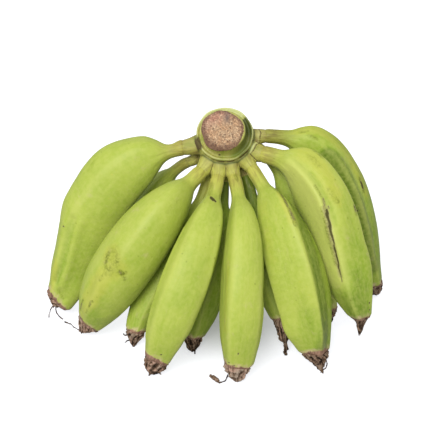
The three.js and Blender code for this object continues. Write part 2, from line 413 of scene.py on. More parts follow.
class Tree:
    """A shader node tree, with short ways to add and join its nodes."""

    def __init__(self, tree: bpy.types.NodeTree) -> None:
        """Takes a tree and clears it."""
        self.tree = tree
        tree.nodes.clear()

    def add(self, kind: str, inputs: dict | None = None, **settings: object) -> bpy.types.Node:
        """Adds a node.

        Args:
            kind: its type.
            inputs: sockets to set or to link, by name or number.
            settings: its own properties.

        Returns:
            The node.
        """
        node = self.tree.nodes.new(kind)
        for key, value in settings.items():
            setattr(node, key, value)
        for key, value in (inputs or {}).items():
            self.feed(node.inputs[key], value)
        return node

    def feed(self, socket: Socket, value: object) -> None:
        """Links a socket to another, or sets its value.

        Args:
            socket: the socket to feed.
            value: the socket or the plain value that feeds it.
        """
        if isinstance(value, Socket):
            self.tree.links.new(value, socket)
        else:
            socket.default_value = value

    def math(self, operation: str, *values: object) -> Socket:
        """The result of a Math node on sockets or numbers."""
        return self.add("ShaderNodeMath", dict(enumerate(values)), operation=operation).outputs[0]

    def chain(self, operation: str, *values: object) -> Socket:
        """Carries one operation along a row of sockets and numbers.

        Args:
            operation: the Math node's operation.
            values: the row.

        Returns:
            The result.
        """
        result = values[0]
        for value in values[1:]:
            result = self.math(operation, result, value)
        return result

    def plus(self, *values: object) -> Socket:
        """The sum of sockets and numbers."""
        return self.chain("ADD", *values)

    def times(self, *values: object) -> Socket:
        """The product of sockets and numbers."""
        return self.chain("MULTIPLY", *values)

    def fit(self, value: object, low: float, high: float, to: tuple[float, float] = (0.0, 1.0)) -> Socket:
        """A value carried from one range to another, and held inside it."""
        return self.add("ShaderNodeMapRange", {0: value, 1: low, 2: high, 3: to[0], 4: to[1]}).outputs[0]

    def soft_step(self, value: object, low: object, high: object) -> Socket:
        """A soft step from 0 to 1 between two sockets or numbers."""
        ends = {0: value, 1: low, 2: high}
        return self.add("ShaderNodeMapRange", ends, interpolation_type="SMOOTHSTEP").outputs[0]

    def cloud(self, vector: Socket, scale: object, detail: float, roughness: float) -> Socket:
        """The value of a noise texture."""
        inputs = {"Vector": vector, "Scale": scale, "Detail": detail, "Roughness": roughness}
        return self.add("ShaderNodeTexNoise", inputs).outputs[0]

    def blend(self, factor: object, first: object, second: object) -> Socket:
        """Mixes two colours.

        Args:
            factor: how much of the second, a socket or a number.
            first: a socket or a plain colour.
            second: the same.

        Returns:
            The mixed colour.
        """
        node = self.add("ShaderNodeMix", {0: factor}, data_type="RGBA")
        for socket, value in ((node.inputs[6], first), (node.inputs[7], second)):
            self.feed(socket, value if isinstance(value, Socket) else (*value, 1.0))
        return node.outputs[2]

    def cover(self, colour: object, *coats: tuple[Socket, float, object]) -> Socket:
        """Lays coats over a colour, one after another.

        Args:
            colour: what lies under them.
            coats: each coat's mask, its strength and its colour.

        Returns:
            The colour on top.
        """
        for mask, strength, coat in coats:
            colour = self.blend(self.times(mask, strength), colour, coat)
        return colour

    def value(self, name: str) -> Socket:
        """A number stored on the mesh's points."""
        return self.add("ShaderNodeAttribute", attribute_name=name).outputs["Fac"]

    def vector(self, name: str) -> Socket:
        """A vector stored on the mesh's points."""
        return self.add("ShaderNodeAttribute", attribute_name=name).outputs["Vector"]

    def use(self, group: bpy.types.NodeTree, **inputs: object) -> Socket:
        """Places a node group, feeds its inputs by name, and gives its mask."""
        return self.add("ShaderNodeGroup", inputs, node_tree=group).outputs["Mask"]


class Effects:
    """The shader groups that more than one finish uses, each built once."""

    def __init__(self) -> None:
        """Builds every group."""
        self.mottle = self._mottle()
        self.speckle = self._speckle()
        self.fibre = self._fibre()
        self.ragged = self._ragged()
        self.browning = self._browning()

    @staticmethod
    def _start(name: str, **numbers: float) -> tuple[Tree, bpy.types.NodeOutputs]:
        """Starts a group, which reads a vector and some numbers and puts out a mask.

        Args:
            name: the group's name.
            numbers: each number's name and its usual value.

        Returns:
            The group's tree, and the sockets that it reads.
        """
        group = bpy.data.node_groups.new(name, "ShaderNodeTree")
        group.interface.new_socket("Vector", in_out="INPUT", socket_type="NodeSocketVector")
        for key, usual in numbers.items():
            socket = group.interface.new_socket(key, in_out="INPUT", socket_type="NodeSocketFloat")
            socket.default_value = usual
        group.interface.new_socket("Mask", in_out="OUTPUT", socket_type="NodeSocketFloat")
        tree = Tree(group)
        return tree, tree.add("NodeGroupInput").outputs

    @staticmethod
    def _end(tree: Tree, mask: Socket) -> bpy.types.NodeTree:
        """Sends a group's mask out, and gives the group."""
        tree.add("NodeGroupOutput", {"Mask": mask})
        return tree.tree

    def _mottle(self) -> bpy.types.NodeTree:
        """Builds soft cloudy patches.

        Returns:
            The group.
        """
        tree, given = self._start("mottling", Scale=40.0, Low=0.4, High=0.6)
        cloud = tree.cloud(given["Vector"], given["Scale"], 3.0, 0.55)
        return self._end(tree, tree.soft_step(cloud, given["Low"], given["High"]))

    def _speckle(self) -> bpy.types.NodeTree:
        """Builds scattered small dots of uneven size.

        Returns:
            The group.
        """
        tree, given = self._start("speckles", Scale=300.0, Size=0.2, Share=0.5)
        cells = tree.add("ShaderNodeTexVoronoi", {"Vector": given["Vector"], "Scale": given["Scale"]})
        pick = tree.add("ShaderNodeSeparateColor", {0: cells.outputs["Color"]})
        chosen = tree.math("LESS_THAN", pick.outputs[0], given["Share"])
        size = tree.times(given["Size"], tree.plus(0.4, pick.outputs[1]))
        inside = tree.math("DIVIDE", cells.outputs["Distance"], size)
        return self._end(tree, tree.times(tree.fit(inside, 1.0, 0.4), chosen))

    def _fibre(self) -> bpy.types.NodeTree:
        """Builds fine streaks along the first axis of the vector.

        Returns:
            The group.
        """
        tree, given = self._start("fibres", Along=10.0, Across=200.0)
        scales = {0: given["Along"], 1: given["Across"], 2: given["Across"]}
        stretch = tree.add("ShaderNodeCombineXYZ", scales).outputs[0]
        pulled = {0: given["Vector"], 1: stretch}
        stretched = tree.add("ShaderNodeVectorMath", pulled, operation="MULTIPLY").outputs[0]
        return self._end(tree, tree.fit(tree.cloud(stretched, 1.0, 4.0, 0.6), 0.3, 0.7))

    def _ragged(self) -> bpy.types.NodeTree:
        """Builds a mask whose edge is broken up, as withered or rubbed skin is.

        Returns:
            The group.
        """
        tree, given = self._start("ragged edge", Edge=0.0, Scale=200.0, Amount=0.6, Softness=0.2)
        cloud = tree.cloud(given["Vector"], given["Scale"], 5.0, 0.65)
        moved = tree.plus(given["Edge"], tree.times(tree.plus(cloud, -0.5), given["Amount"]))
        low, high = (tree.math(way, 0.5, given["Softness"]) for way in ("SUBTRACT", "ADD"))
        return self._end(tree, tree.soft_step(moved, low, high))

    def _browning(self) -> bpy.types.NodeTree:
        """Builds how brown a stem's skin is: streaks along it, and smudges.

        Returns:
            The group.
        """
        tree, given = self._start("stem browning", Amount=0.4)
        streak = tree.use(self.fibre, Vector=given["Vector"], Along=34.0, Across=330.0)
        cloud = tree.use(self.mottle, Vector=given["Vector"], Scale=120.0, Low=0.38, High=0.66)
        uneven = tree.plus(tree.times(streak, 0.55), tree.times(cloud, 0.5), -0.5)
        return self._end(tree, tree.fit(tree.plus(given["Amount"], tree.times(uneven, 0.8)), 0.0, 1.0))


class Painting(Tree):
    """A material's tree, which lays the shared effects over the vector stored as peel."""

    def __init__(self, name: str, effects: Effects | None = None) -> None:
        """Starts a material.

        Args:
            name: its name.
            effects: the shared shader groups, where it uses them.
        """
        self.material = bpy.data.materials.new(name)
        self.material.use_nodes = True
        super().__init__(self.material.node_tree)
        self.effects = effects
        self.skin = self.vector("peel") if effects else None

    def mottle(self, scale: float, low: float, high: float) -> Socket:
        """Soft cloudy patches."""
        return self.use(self.effects.mottle, Vector=self.skin, Scale=scale, Low=low, High=high)

    def speckle(self, scale: float, size: float, share: float) -> Socket:
        """Scattered small dots."""
        return self.use(self.effects.speckle, Vector=self.skin, Scale=scale, Size=size, Share=share)

    def fibre(self, along: float, across: float) -> Socket:
        """Fine streaks."""
        return self.use(self.effects.fibre, Vector=self.skin, Along=along, Across=across)

    def ragged(self, name: str, scale: float, amount: float, softness: float) -> Socket:
        """A mask stored on the mesh's points, with its edge broken up."""
        inputs = {"Vector": self.skin, "Scale": scale, "Amount": amount, "Softness": softness}
        return self.use(self.effects.ragged, Edge=self.value(name), **inputs)

    def stem_tone(self) -> Socket:
        """The colour of a stem's skin."""
        brown = self.use(self.effects.browning, Vector=self.skin, Amount=self.value("olive"))
        return self.blend(brown, STEM_GREEN, STEM_BROWN)

    def bump(self, height: Socket, strength: float, depth: float) -> Socket:
        """The normal of a fine relief, with its depth in mm."""
        inputs = {"Height": height, "Strength": strength, "Distance": depth * MM}
        return self.add("ShaderNodeBump", inputs).outputs[0]

    def finish(self, inputs: dict) -> bpy.types.Material:
        """Ends the material with a Principled BSDF.

        Args:
            inputs: the shader's sockets to set or to link.

        Returns:
            The material.
        """
        shader = self.add("ShaderNodeBsdfPrincipled", inputs)
        self.add("ShaderNodeOutputMaterial", {"Surface": shader.outputs[0]})
        return self.material


@dataclass(frozen=True)
class PeelFinish:
    """The green peel: waxy lime green, mottled, olive on the stem, brown and dry at the end, with painted
    shade in its deeper greens and painted light in its pale one.
    """

    lime: Colour = (0.412, 0.5, 0.068)
    # deep is the peel's deeper green and the colour of its painted shade; the green after it is painted
    # shade alone.
    deep: Colour = (0.23, 0.36, 0.018)
    painted_shade_green: Colour = (0.1, 0.18, 0.006)
    # pale is the pale mottling and ridge lines, and the colour of painted light.
    pale: Colour = (0.56, 0.6, 0.15)
    yellow: Colour = (0.56, 0.5, 0.06)
    rubbed: Colour = (0.14, 0.165, 0.012)
    corky: Colour = (0.038, 0.033, 0.005)
    cork_edge: Colour = (0.36, 0.3, 0.14)
    dry_rim: Colour = (0.68, 0.5, 0.32)
    dry_light: Colour = (0.5, 0.3, 0.2)
    dry_dark: Colour = (0.13, 0.065, 0.045)
    roughness: float = 0.44
    shine: float = 0.24

    def make(self, effects: Effects) -> bpy.types.Material:
        """Builds the material.

        Args:
            effects: the shared shader groups.

        Returns:
            The material.
        """
        t = Painting("green_peel", effects)
        cloud = t.mottle(scale=34.0, low=0.34, high=0.68)
        patch = t.mottle(scale=95.0, low=0.36, high=0.66)
        fine = t.mottle(scale=300.0, low=0.34, high=0.68)
        grit = t.mottle(scale=620.0, low=0.4, high=0.62)
        streak = t.fibre(along=16.0, across=240.0)
        pleats = t.fibre(along=90.0, across=420.0)
        freckles = t.speckle(scale=190.0, size=0.17, share=0.2)
        dots = t.speckle(scale=420.0, size=0.24, share=0.1)
        blush = t.ragged("blush", scale=130.0, amount=1.3, softness=0.45)
        scar = t.ragged("scar", scale=520.0, amount=0.55, softness=0.25)
        rim = t.ragged("rim", scale=90.0, amount=2.2, softness=0.4)
        dry = t.ragged("dry", scale=150.0, amount=1.1, softness=0.14)
        rub = t.ragged("rub", scale=240.0, amount=1.5, softness=0.5)
        rub = t.times(rub, t.value("rub"), t.fit(grit, 0.0, 1.0, (0.35, 1.0)))
        # The 'deep' values, with painted shade in them, darken the green.
        depth = t.plus(t.times(cloud, 0.3), t.value("deep"), t.times(patch, 0.16))
        colour = t.blend(t.fit(depth, 0.12, 1.12), self.lime, self.deep)
        colour = t.blend(t.fit(depth, 1.0, 2.0), colour, self.painted_shade_green)
        colour = t.cover(
            colour,
            (fine, 0.26, self.pale),
            (streak, 0.24, self.pale),
            (t.value("ridge"), 0.3, self.pale),
            (blush, 0.28, self.yellow),
        )
        # Stems in painted shade turn towards the darkest green.
        shaded_stem = t.blend(t.fit(t.value("deep"), 0.15, 0.8, (0.0, 0.8)), t.stem_tone(), self.painted_shade_green)
        colour = t.blend(t.value("stem"), colour, shaded_stem)
        colour = t.cover(
            colour,
            (freckles, 0.45, self.rubbed),
            (dots, 0.35, self.yellow),
            (rub, 0.8, self.rubbed),
            (t.fit(t.value("scar"), 0.05, 0.45), 0.6, self.cork_edge),
            (scar, 0.88, self.corky),
            (t.times(rim, patch), 0.7, self.dry_rim),
        )
        colour = t.blend(dry, colour, t.blend(pleats, self.dry_dark, self.dry_light))
        rough = t.plus(self.roughness, t.times(fine, 0.08), t.times(t.math("MAXIMUM", dry, scar), 0.35))
        height = t.plus(
            t.times(patch, 0.5), t.times(streak, 0.35), t.times(fine, 0.25), t.times(scar, -0.9),
            t.times(dry, pleats, 1.2),
        )
        return t.finish({
            "Base Color": colour, "Roughness": rough, "Normal": t.bump(height, strength=0.4, depth=0.7),
            "Specular IOR Level": self.shine,
        })


@dataclass(frozen=True)
class DriedFinish:
    """Dry flower tissue: pinkish and grey brown on its folds, dark in its creases, with painted shade laid
    in them.
    """

    pink: Colour = (0.54, 0.35, 0.26)
    grey: Colour = (0.38, 0.3, 0.225)
    middle: Colour = (0.17, 0.105, 0.065)
    # dark: the creases, with painted shade in them
    dark: Colour = (0.022, 0.013, 0.008)
    roughness: float = 0.9
    shine: float = 0.15

    def make(self, effects: Effects) -> bpy.types.Material:
        """Builds the material.

        Args:
            effects: the shared shader groups.

        Returns:
            The material.
        """
        t = Painting("dried_flower", effects)
        cloud = t.mottle(scale=300.0, low=0.35, high=0.65)
        tint = t.mottle(scale=110.0, low=0.4, high=0.6)
        streak = t.use(effects.fibre, Vector=t.vector("lie"), Along=60.0, Across=900.0)
        uneven = (t.times(t.plus(cloud, -0.5), 0.35), t.times(t.plus(streak, -0.5), 0.3))
        tone = t.plus(t.value("fold"), *uneven)
        colour = t.blend(t.fit(tone, 0.12, 0.42), self.dark, self.middle)
        colour = t.blend(t.fit(tone, 0.42, 0.85), colour, t.blend(tint, self.pink, self.grey))
        return t.finish({
            "Base Color": colour, "Roughness": self.roughness, "Specular IOR Level": self.shine,
            "Normal": t.bump(t.plus(streak, cloud), strength=0.6, depth=0.6),
        })


@dataclass(frozen=True)
class StalkFinish:
    """The stalk's green skin: olive and yellow, with painted shade in deep green inside the lip, painted
    highlights on the lip, and brown where it is torn.
    """

    green: Colour = (0.33, 0.38, 0.055)
    yellow: Colour = (0.5, 0.49, 0.12)
    # painted shade inside the lip and in the crease round its foot
    deep: Colour = (0.06, 0.08, 0.007)
    # a painted highlight low in the lip's well
    painted_well_highlight: Colour = (0.24, 0.3, 0.03)
    # the palest skin, with a painted highlight along the lip's edge
    rim: Colour = (0.72, 0.76, 0.36)
    brown: Colour = (0.085, 0.048, 0.022)
    tan: Colour = (0.36, 0.27, 0.11)
    roughness: float = 0.5

    def make(self, effects: Effects) -> bpy.types.Material:
        """Builds the material.

        Args:
            effects: the shared shader groups.

        Returns:
            The material.
        """
        t = Painting("stalk_skin", effects)
        cloud = t.mottle(scale=80.0, low=0.35, high=0.65)
        streak = t.fibre(along=40.0, across=420.0)
        torn = t.ragged("torn", scale=330.0, amount=0.9, softness=0.22)
        dots = t.speckle(scale=260.0, size=0.2, share=0.2)
        colour = t.cover(t.blend(cloud, self.green, self.yellow), (streak, 0.4, self.tan))
        # Painted shade, a painted highlight, the webs' own colour, and the pale rim with its painted
        # highlight.
        coats = {"painted_well_highlight": self.painted_well_highlight, "web": t.stem_tone(), "painted_lip_shade": self.deep, "rim": self.rim}
        for name, coat in coats.items():
            colour = t.blend(t.value(name), colour, coat)
        return t.finish({
            "Base Color": t.cover(colour, (torn, 0.85, self.brown), (dots, 0.5, self.brown)),
            "Roughness": t.plus(self.roughness, t.times(torn, 0.35)),
            "Normal": t.bump(t.plus(streak, torn), strength=0.5, depth=0.8),
        })


@dataclass(frozen=True)
class CutFinish:
    """A cut through the stalk: dry fibre ends, tan with brown pits, darker towards its edge."""

    cream: Colour = (0.86, 0.66, 0.42)
    tan: Colour = (0.62, 0.38, 0.21)
    pink: Colour = (0.6, 0.31, 0.21)
    pit: Colour = (0.14, 0.065, 0.04)
    smudge: Colour = (0.15, 0.12, 0.11)
    roughness: float = 0.95

    def make(self, effects: Effects) -> bpy.types.Material:
        """Builds the material.

        Args:
            effects: the shared shader groups.

        Returns:
            The material.
        """
        t = Painting("stalk_cut", effects)
        cloud = t.mottle(scale=130.0, low=0.38, high=0.62)
        grain = t.mottle(scale=560.0, low=0.42, high=0.58)
        ends = t.speckle(scale=560.0, size=0.5, share=0.55)
        pits = t.speckle(scale=470.0, size=0.46, share=0.6)
        edge = t.ragged("edge", scale=300.0, amount=0.9, softness=0.5)
        colour = t.cover(
            t.blend(t.value("pink"), self.tan, self.pink),
            (cloud, 0.35, self.cream),
            (ends, 0.65, self.cream),
            (grain, 0.42, self.pit),
            (pits, 0.62, self.pit),
            (edge, 0.8, self.pit),
            (t.value("smudge"), 0.75, self.smudge),
        )
        return t.finish({
            "Base Color": colour, "Roughness": self.roughness,
            "Normal": t.bump(t.plus(grain, t.times(pits, -1.2)), strength=0.8, depth=0.7),
        })


@dataclass(frozen=True)
class FloorFinish:
    """A plain white floor, lit up for the camera alone so that the shade on it stays faint.

    The glow is held back round one spot, in metres, where the hand's shade falls, and the colour turns
    greener there: a painted shadow.
    """

    white: Colour = (0.46, 0.46, 0.47)
    # the painted shadow's colour
    shaded: Colour = (0.43, 0.46, 0.36)
    roughness: float = 0.9
    glow: Colour = (0.95, 0.96, 1.0)
    strength: float = 0.8
    shade_depth: float = 0.72
    shade_falloff: float = 1.5
    shade_centre: tuple[float, float] = (0.012, 0.005)
    shade_reach: tuple[float, float] = (0.058, 0.056)

    def make(self) -> bpy.types.Material:
        """Builds the material.

        Returns:
            The material.
        """
        t = Painting("floor_white")
        seen = t.add("ShaderNodeLightPath").outputs["Is Camera Ray"]
        place_at = t.add("ShaderNodeTexCoord").outputs["Object"]
        axes = t.add("ShaderNodeSeparateXYZ", {0: place_at})
        away = []
        for k in range(2):
            offset = t.plus(axes.outputs[k], -self.shade_centre[k])
            away.append(t.math("POWER", t.math("DIVIDE", offset, self.shade_reach[k]), 2.0))
        falling = t.math("POWER", t.plus(*away), self.shade_falloff)
        # The painted shadow round that spot.
        under = t.math("POWER", math.e, t.times(falling, -1.0))
        open_floor = t.plus(1.0, t.times(under, -self.shade_depth))
        return t.finish({
            "Base Color": t.blend(open_floor, self.shaded, self.white), "Roughness": self.roughness,
            "Emission Color": (*self.glow, 1.0),
            "Emission Strength": t.times(seen, open_floor, self.strength),
        })


@dataclass
class Finishes:
    """Every material with its slot, made once."""

    effects: Effects = field(default_factory=Effects)

    def __post_init__(self) -> None:
        """Builds the materials."""
        self.peel = Dress(PeelFinish().make(self.effects), "peel")
        self.dried = Dress(DriedFinish().make(self.effects), "dried_flower")
        self.stalk = Dress(StalkFinish().make(self.effects), "stalk")
        self.cut = Dress(CutFinish().make(self.effects), "stalk")
        self.floor = FloorFinish().make()


# ---- A fruit ----

SPINE_STEPS = 401
FAR = 1e3  # further than any two points of a fruit are apart
PEEL_LUMPS = ((0.45, 26.0, 0), (0.16, 9.0, 3))  # their height, their size, and which field of lumps
RIB_LENGTH = 40.0  # how long a fine rib at the body's ends is
RIB_RADIUS = 3.0  # and the body's radius there, counted in ribs
RIDGE_LINE = 0.16  # how wide the pale line on a ridge is, on the scale from ridge to flat side
RIM_RANGE = (-0.034, 0.006)  # from where to where the dry end's pale rim comes in, in shares of the body
DRY_RANGE = (-0.024, 0.034)  # and the dry skin itself
FLOWER_RINGS, FLOWER_SIDES = 70, 140
FLOWER_FIT = 0.93  # how wide the dried flower starts, against the fruit's end
FLOWER_SINK = 1.6  # how deep inside the fruit's end it starts
FLOWER_SAG = (2.2, 1.6)  # how far its far end can lean, to the side and to the back
FLOWER_TWIST = 0.9  # how far it can turn on its way down, in radians
FOLD_MIDDLE = 0.42  # the tone of its skin half way between its creases and its folds


@dataclass(frozen=True)
class Mark:
    """A mark on a fruit's peel, a flaw of its skin, painted shade or painted light: a line or, with one
    point, a spot.

    Each point is the share of the fruit from its stem's root to its end, and the degrees round it
    from its right side, with 90 on its back.
    """

    flaw: Flaw
    points: Places
    width: float
    strength: float = 1.0


@dataclass(frozen=True)
class Crease:
    """A groove along a fruit or, with a negative depth, a ridge. Its points are as in a mark."""

    points: Places
    width: float
    depth: float


@dataclass
class Spine:
    """The curve down a fruit's middle, read by the share of its length."""

    controls: np.ndarray

    def __post_init__(self) -> None:
        """Measures the curve."""
        self.steps = np.linspace(0, 1, SPINE_STEPS)
        path = self._at(self.steps)
        self.run = np.concatenate([[0.0], np.cumsum(np.linalg.norm(np.diff(path, axis=0), axis=1))])
        self.length = float(self.run[-1])

    def _at(self, t: np.ndarray) -> np.ndarray:
        """Reads the curve at its own parameter.

        Args:
            t: the parameter, from 0 to 1.

        Returns:
            The points.
        """
        a, b, c, d = self.controls
        t = t[:, None]
        return (1 - t) ** 3 * a + 3 * (1 - t) ** 2 * t * b + 3 * (1 - t) * t**2 * c + t**3 * d

    def read(self, share: np.ndarray) -> tuple[np.ndarray, np.ndarray]:
        """Reads the curve.

        Args:
            share: shares of its length.

        Returns:
            The points there, and the ways the curve runs.
        """
        t = np.interp(share * self.length, self.run, self.steps)
        a, b, c, d = self.controls
        s = t[:, None]
        way = 3 * (1 - s) ** 2 * (b - a) + 6 * (1 - s) * s * (c - b) + 3 * s**2 * (d - c)
        return self._at(t), unit(way)


@dataclass(frozen=True)
class PeelGrid:
    """Where the points of a fruit's peel are: by ring down the fruit, and by side round it."""

    length: float  # the spine's length
    total: np.ndarray  # share of the whole fruit, by ring
    share: np.ndarray  # share of its body, by ring
    turn: np.ndarray  # the way round from a ridge, by side
    angle: np.ndarray  # the way round from the fruit's right side, by side
    girth: np.ndarray  # the radius, by ring and side

    def down(self) -> np.ndarray:
        """How far down the fruit each ring is, as a column."""
        return (self.total * self.length)[:, None]

    def distance(self, places: Places) -> np.ndarray:
        """How far each point of the peel is from a line on it.

        Args:
            places: the line's points.

        Returns:
            The distances, by ring and side.
        """
        nearest = np.full(self.girth.shape, FAR)
        points = [(share * self.length, math.radians(degrees)) for share, degrees in places]
        for (x0, a0), (x1, a1) in zip(points, points[1:] or points):
            run = self.down() - x0
            across = turned_from(self.angle, a0)[None, :] * self.girth
            step_x, step_a = x1 - x0, (a1 - a0) * self.girth
            square = step_x**2 + step_a**2 + 1e-9
            t = np.clip((run * step_x + across * step_a) / square, 0, 1)
            nearest = np.minimum(nearest, np.hypot(run - t * step_x, across - t * step_a))
        return nearest


@dataclass
class Fruit:
    """One fruit with its stem and the dried flower on its end.

    Its back is the outer side of its bend. Degrees round it start at its right side, with 90 on its
    back.
    """

    name: str
    row: Row
    fan: float  # the way round the stalk to its stem, in degrees
    stem: float  # the stem's length
    neck: float  # the stem's radius
    half: tuple[float, float]  # the body's half widths, to the side and to the back
    end: float  # its radius where the flower sat
    lag: float  # over 1, the body swells later
    roll: float  # the degrees round it to one of its ridges
    flat: float  # how far inside a round section its flat sides lie, as a share
    bend: Point  # the first point that its middle bends towards
    fall: Point  # and the second
    tip: Point  # where its body ends
    faces: Point  # the way that its end looks
    shape: DriedShape
    reach: float  # the dried flower's length
    seed: int = 0  # which lumps and patterns it gets
    deep: float = 0.0  # how deep and dark its green is: partly its own tone, and painted shade on the fruits that lie in shade
    ridged: float = 1.0  # how much flatter its sides get towards its end
    crisp: float = 0.14  # how round its ridges are
    olive: float = 0.3  # how brown its stem is
    dry_from: float = 0.965  # the share of its body where the dry end starts
    dry_slant: float = 0.0  # how much earlier that is on one side
    dry_side: float = 90.0  # and the degrees round it to that side
    droop: Point = (0.0, 0.0, 0.0)  # how far the dried flower's far end hangs aside
    faded: float = -0.08  # how pale the dried flower is
    marks: tuple[Mark, ...] = ()
    creases: tuple[Crease, ...] = ()
    sides: int = 120
    rings: int = 190

    def __post_init__(self) -> None:
        """Lays out the fruit's spine."""
        self.root = round_stalk(self.fan, self.row.value[1], self.row.value[0])
        controls = np.array([self.root, self.bend, self.fall, self.tip], float)
        self.spine = Spine(controls)
        self.back = unit(controls[1] + controls[2] - controls[0] - controls[3])
        self.end_way = unit(np.array(self.faces, float))

    def size_at(self, share: np.ndarray) -> tuple[np.ndarray, np.ndarray, np.ndarray]:
        """The body's half widths.

        Args:
            share: shares of the body.

        Returns:
            The half widths there to the side, the back and the belly.
        """
        base = self.neck + (self.end - self.neck) * share
        late = share**self.lag
        return tuple(
            base + (full - base) * on_curve(SWELL, column, late)
            for column, full in ((1, self.half[0]), (2, self.half[1]), (3, self.half[1]))
        )

    def sections(self, total: np.ndarray, share: np.ndarray) -> tuple[np.ndarray, np.ndarray, np.ndarray]:
        """Where the sections lie, and how they are turned.

        Args:
            total: each one's share of the whole fruit.
            share: each one's share of its body.

        Returns:
            Their middles, their ways to the side, and their ways to the back.
        """
        centre, way = self.spine.read(total)
        turned = smooth(share, END_TURN, 1)[:, None]
        way = unit(way * (1 - turned) + self.end_way * turned)
        up = unit(self.back - way * (way @ self.back)[:, None])
        return centre, np.cross(up, way), up

    def face_at(self, turn: np.ndarray) -> np.ndarray:
        """How far each way round is from a ridge: 0 on it, and nearly 1 on a flat side."""
        return np.hypot(np.sin(FACES / 2 * turn), self.crisp) - self.crisp

    def body_rings(self) -> tuple[np.ndarray, dict[str, np.ndarray]]:
        """The body's points and what its peel's finish reads.

        Returns:
            The points by ring and side, and the values at each.
        """
        length = self.spine.length
        stem = self.stem / length
        ease = np.linspace(0, 1, self.rings)
        total = ease + RING_SHIFT * np.sin(2 * math.pi * ease)
        share = (total - stem) / (1 - stem)
        share = np.clip((share + np.hypot(share, BODY_ONSET) - ONSET_SHIFT) / 2, 0, 1)
        centre, side, up = self.sections(total, share)
        turn = once_round(self.sides)
        angle = turn + math.radians(self.roll)
        wide, high, low = self.size_at(share)
        tall = np.where(np.sin(angle)[None, :] > 0, high[:, None], low[:, None])
        depth = self.flat * smooth(share, 0, 0.1) * (1 + (self.ridged - 1) * smooth(share, 0.35, 0.85))
        out = 1 - depth[:, None] * self.face_at(turn)[None, :]
        flat = np.cos(angle)[None, :] * wide[:, None] * out
        rise = np.sin(angle)[None, :] * tall * out
        outward = side[:, None] * flat[..., None] + up[:, None] * rise[..., None]
        rings = centre[:, None] + outward
        grid = PeelGrid(length, total, share, turn, angle, (wide[:, None] + tall) / 2)
        # The first and last rings dive inside the crown's web and the dried flower.
        root_dive, end_dive = 0.09 * hump(total * length, 0, 1.6), 0.16 * smooth(share, 0.975, 1)
        inward = grid.girth * (root_dive + end_dive)[:, None]
        rings = rings + unit(outward) * (self.relief(grid, rings) - inward)[..., None]
        rings[..., 2] = np.maximum(rings[..., 2], CLEARANCE)
        return rings, self.peel_values(grid)

    def relief(self, grid: PeelGrid, rings: np.ndarray) -> np.ndarray:
        """How far the peel stands out from the plain body: its lumps, ribs and creases.

        Args:
            grid: where the peel's points are.
            rings: the plain body's points.

        Returns:
            The heights, by ring and side.
        """
        relief = sum(height * lumps(rings, size, self.seed + nth) for height, size, nth in PEEL_LUMPS)
        ribs = on_tube(grid.down() / RIB_LENGTH, grid.turn[None, :], RIB_RADIUS)
        ribbed = 0.35 * hump(grid.share, 0.03, 0.07) + 0.6 * smooth(grid.share, 0.86, 1)
        relief = relief + lumps(ribs, 1.0, self.seed + 11) * ribbed[:, None]
        for crease in self.creases:
            relief = relief - crease.depth * hump(grid.distance(crease.points), 0, crease.width)
        return relief * smooth(grid.total, 0, 0.05)[:, None]

    def peel_values(self, grid: PeelGrid) -> dict[str, np.ndarray]:
        """What the peel's finish reads at each point.

        Args:
            grid: where the peel's points are.

        Returns:
            Values by name.
        """
        shape = grid.girth.shape
        share = grid.share[:, None]
        down = np.broadcast_to(grid.down(), shape)
        slant = self.dry_slant * np.cos(grid.angle - math.radians(self.dry_side))
        dry_at = share - self.dry_from + slant[None, :]
        on_ridge = hump(self.face_at(grid.turn), 0, RIDGE_LINE)[None, :]
        values = {
            "peel": self.skin_place(down, np.broadcast_to(grid.angle[None, :], shape)),
            # the pale line on each ridge, with painted light from marks laid on it
            "ridge": on_ridge * smooth(share, 0.05, 0.3),
            "stem": 1 - smooth(down, 0.2 * self.stem, self.stem + 9),
            "olive": np.full(shape, self.olive),
            # darker towards the end, partly the peel's own tone and partly painted shade
            "deep": np.broadcast_to(self.deep + 0.14 * smooth(share, 0.55, 0.95), shape).copy(),
            "rim": smooth(dry_at, *RIM_RANGE),
            "dry": smooth(dry_at, *DRY_RANGE),
            **{flaw.value: np.zeros(shape) for flaw in (Flaw.SCAR, Flaw.RUB, Flaw.BLUSH)},
        }
        # Marks add scars, rubs and blush, painted shade to 'deep' (painted light where negative), and
        # painted light to 'ridge'.
        for mark in self.marks:
            away = grid.distance(mark.points)
            laid = mark.strength * (1 - smooth(away, mark.width * 0.3, mark.width))
            key = mark.flaw.value
            values[key] = values[key] + laid if mark.flaw is Flaw.SHADE else np.maximum(values[key], laid)
        return values

    def skin_place(self, down: np.ndarray, angle: np.ndarray) -> np.ndarray:
        """Places on the round skin that this fruit's patterns are laid on, in metres.

        Args:
            down: how far down the fruit each is.
            angle: the way round it.

        Returns:
            The places.
        """
        offset = self.seed * PATTERN_STEP
        return (on_tube(down, angle, PATTERN_RADIUS) + np.array([offset, 0.0, offset])) * MM

    def make_body(self, dress: Dress) -> bpy.types.Object:
        """Builds the stem and the fruit's body."""
        rings, values = self.body_rings()
        return dress.make_closed("fruit_" + self.name + "_skin", "fruit_" + self.name, rings, values)

    def flower_tube(self, share: np.ndarray, turn: np.ndarray) -> tuple[np.ndarray, np.ndarray, np.ndarray]:
        """The dried flower before it crumples.

        Args:
            share: each ring's share of its length.
            turn: the way round at each side.

        Returns:
            Its points, its middle at each, and the share of its length at each.
        """
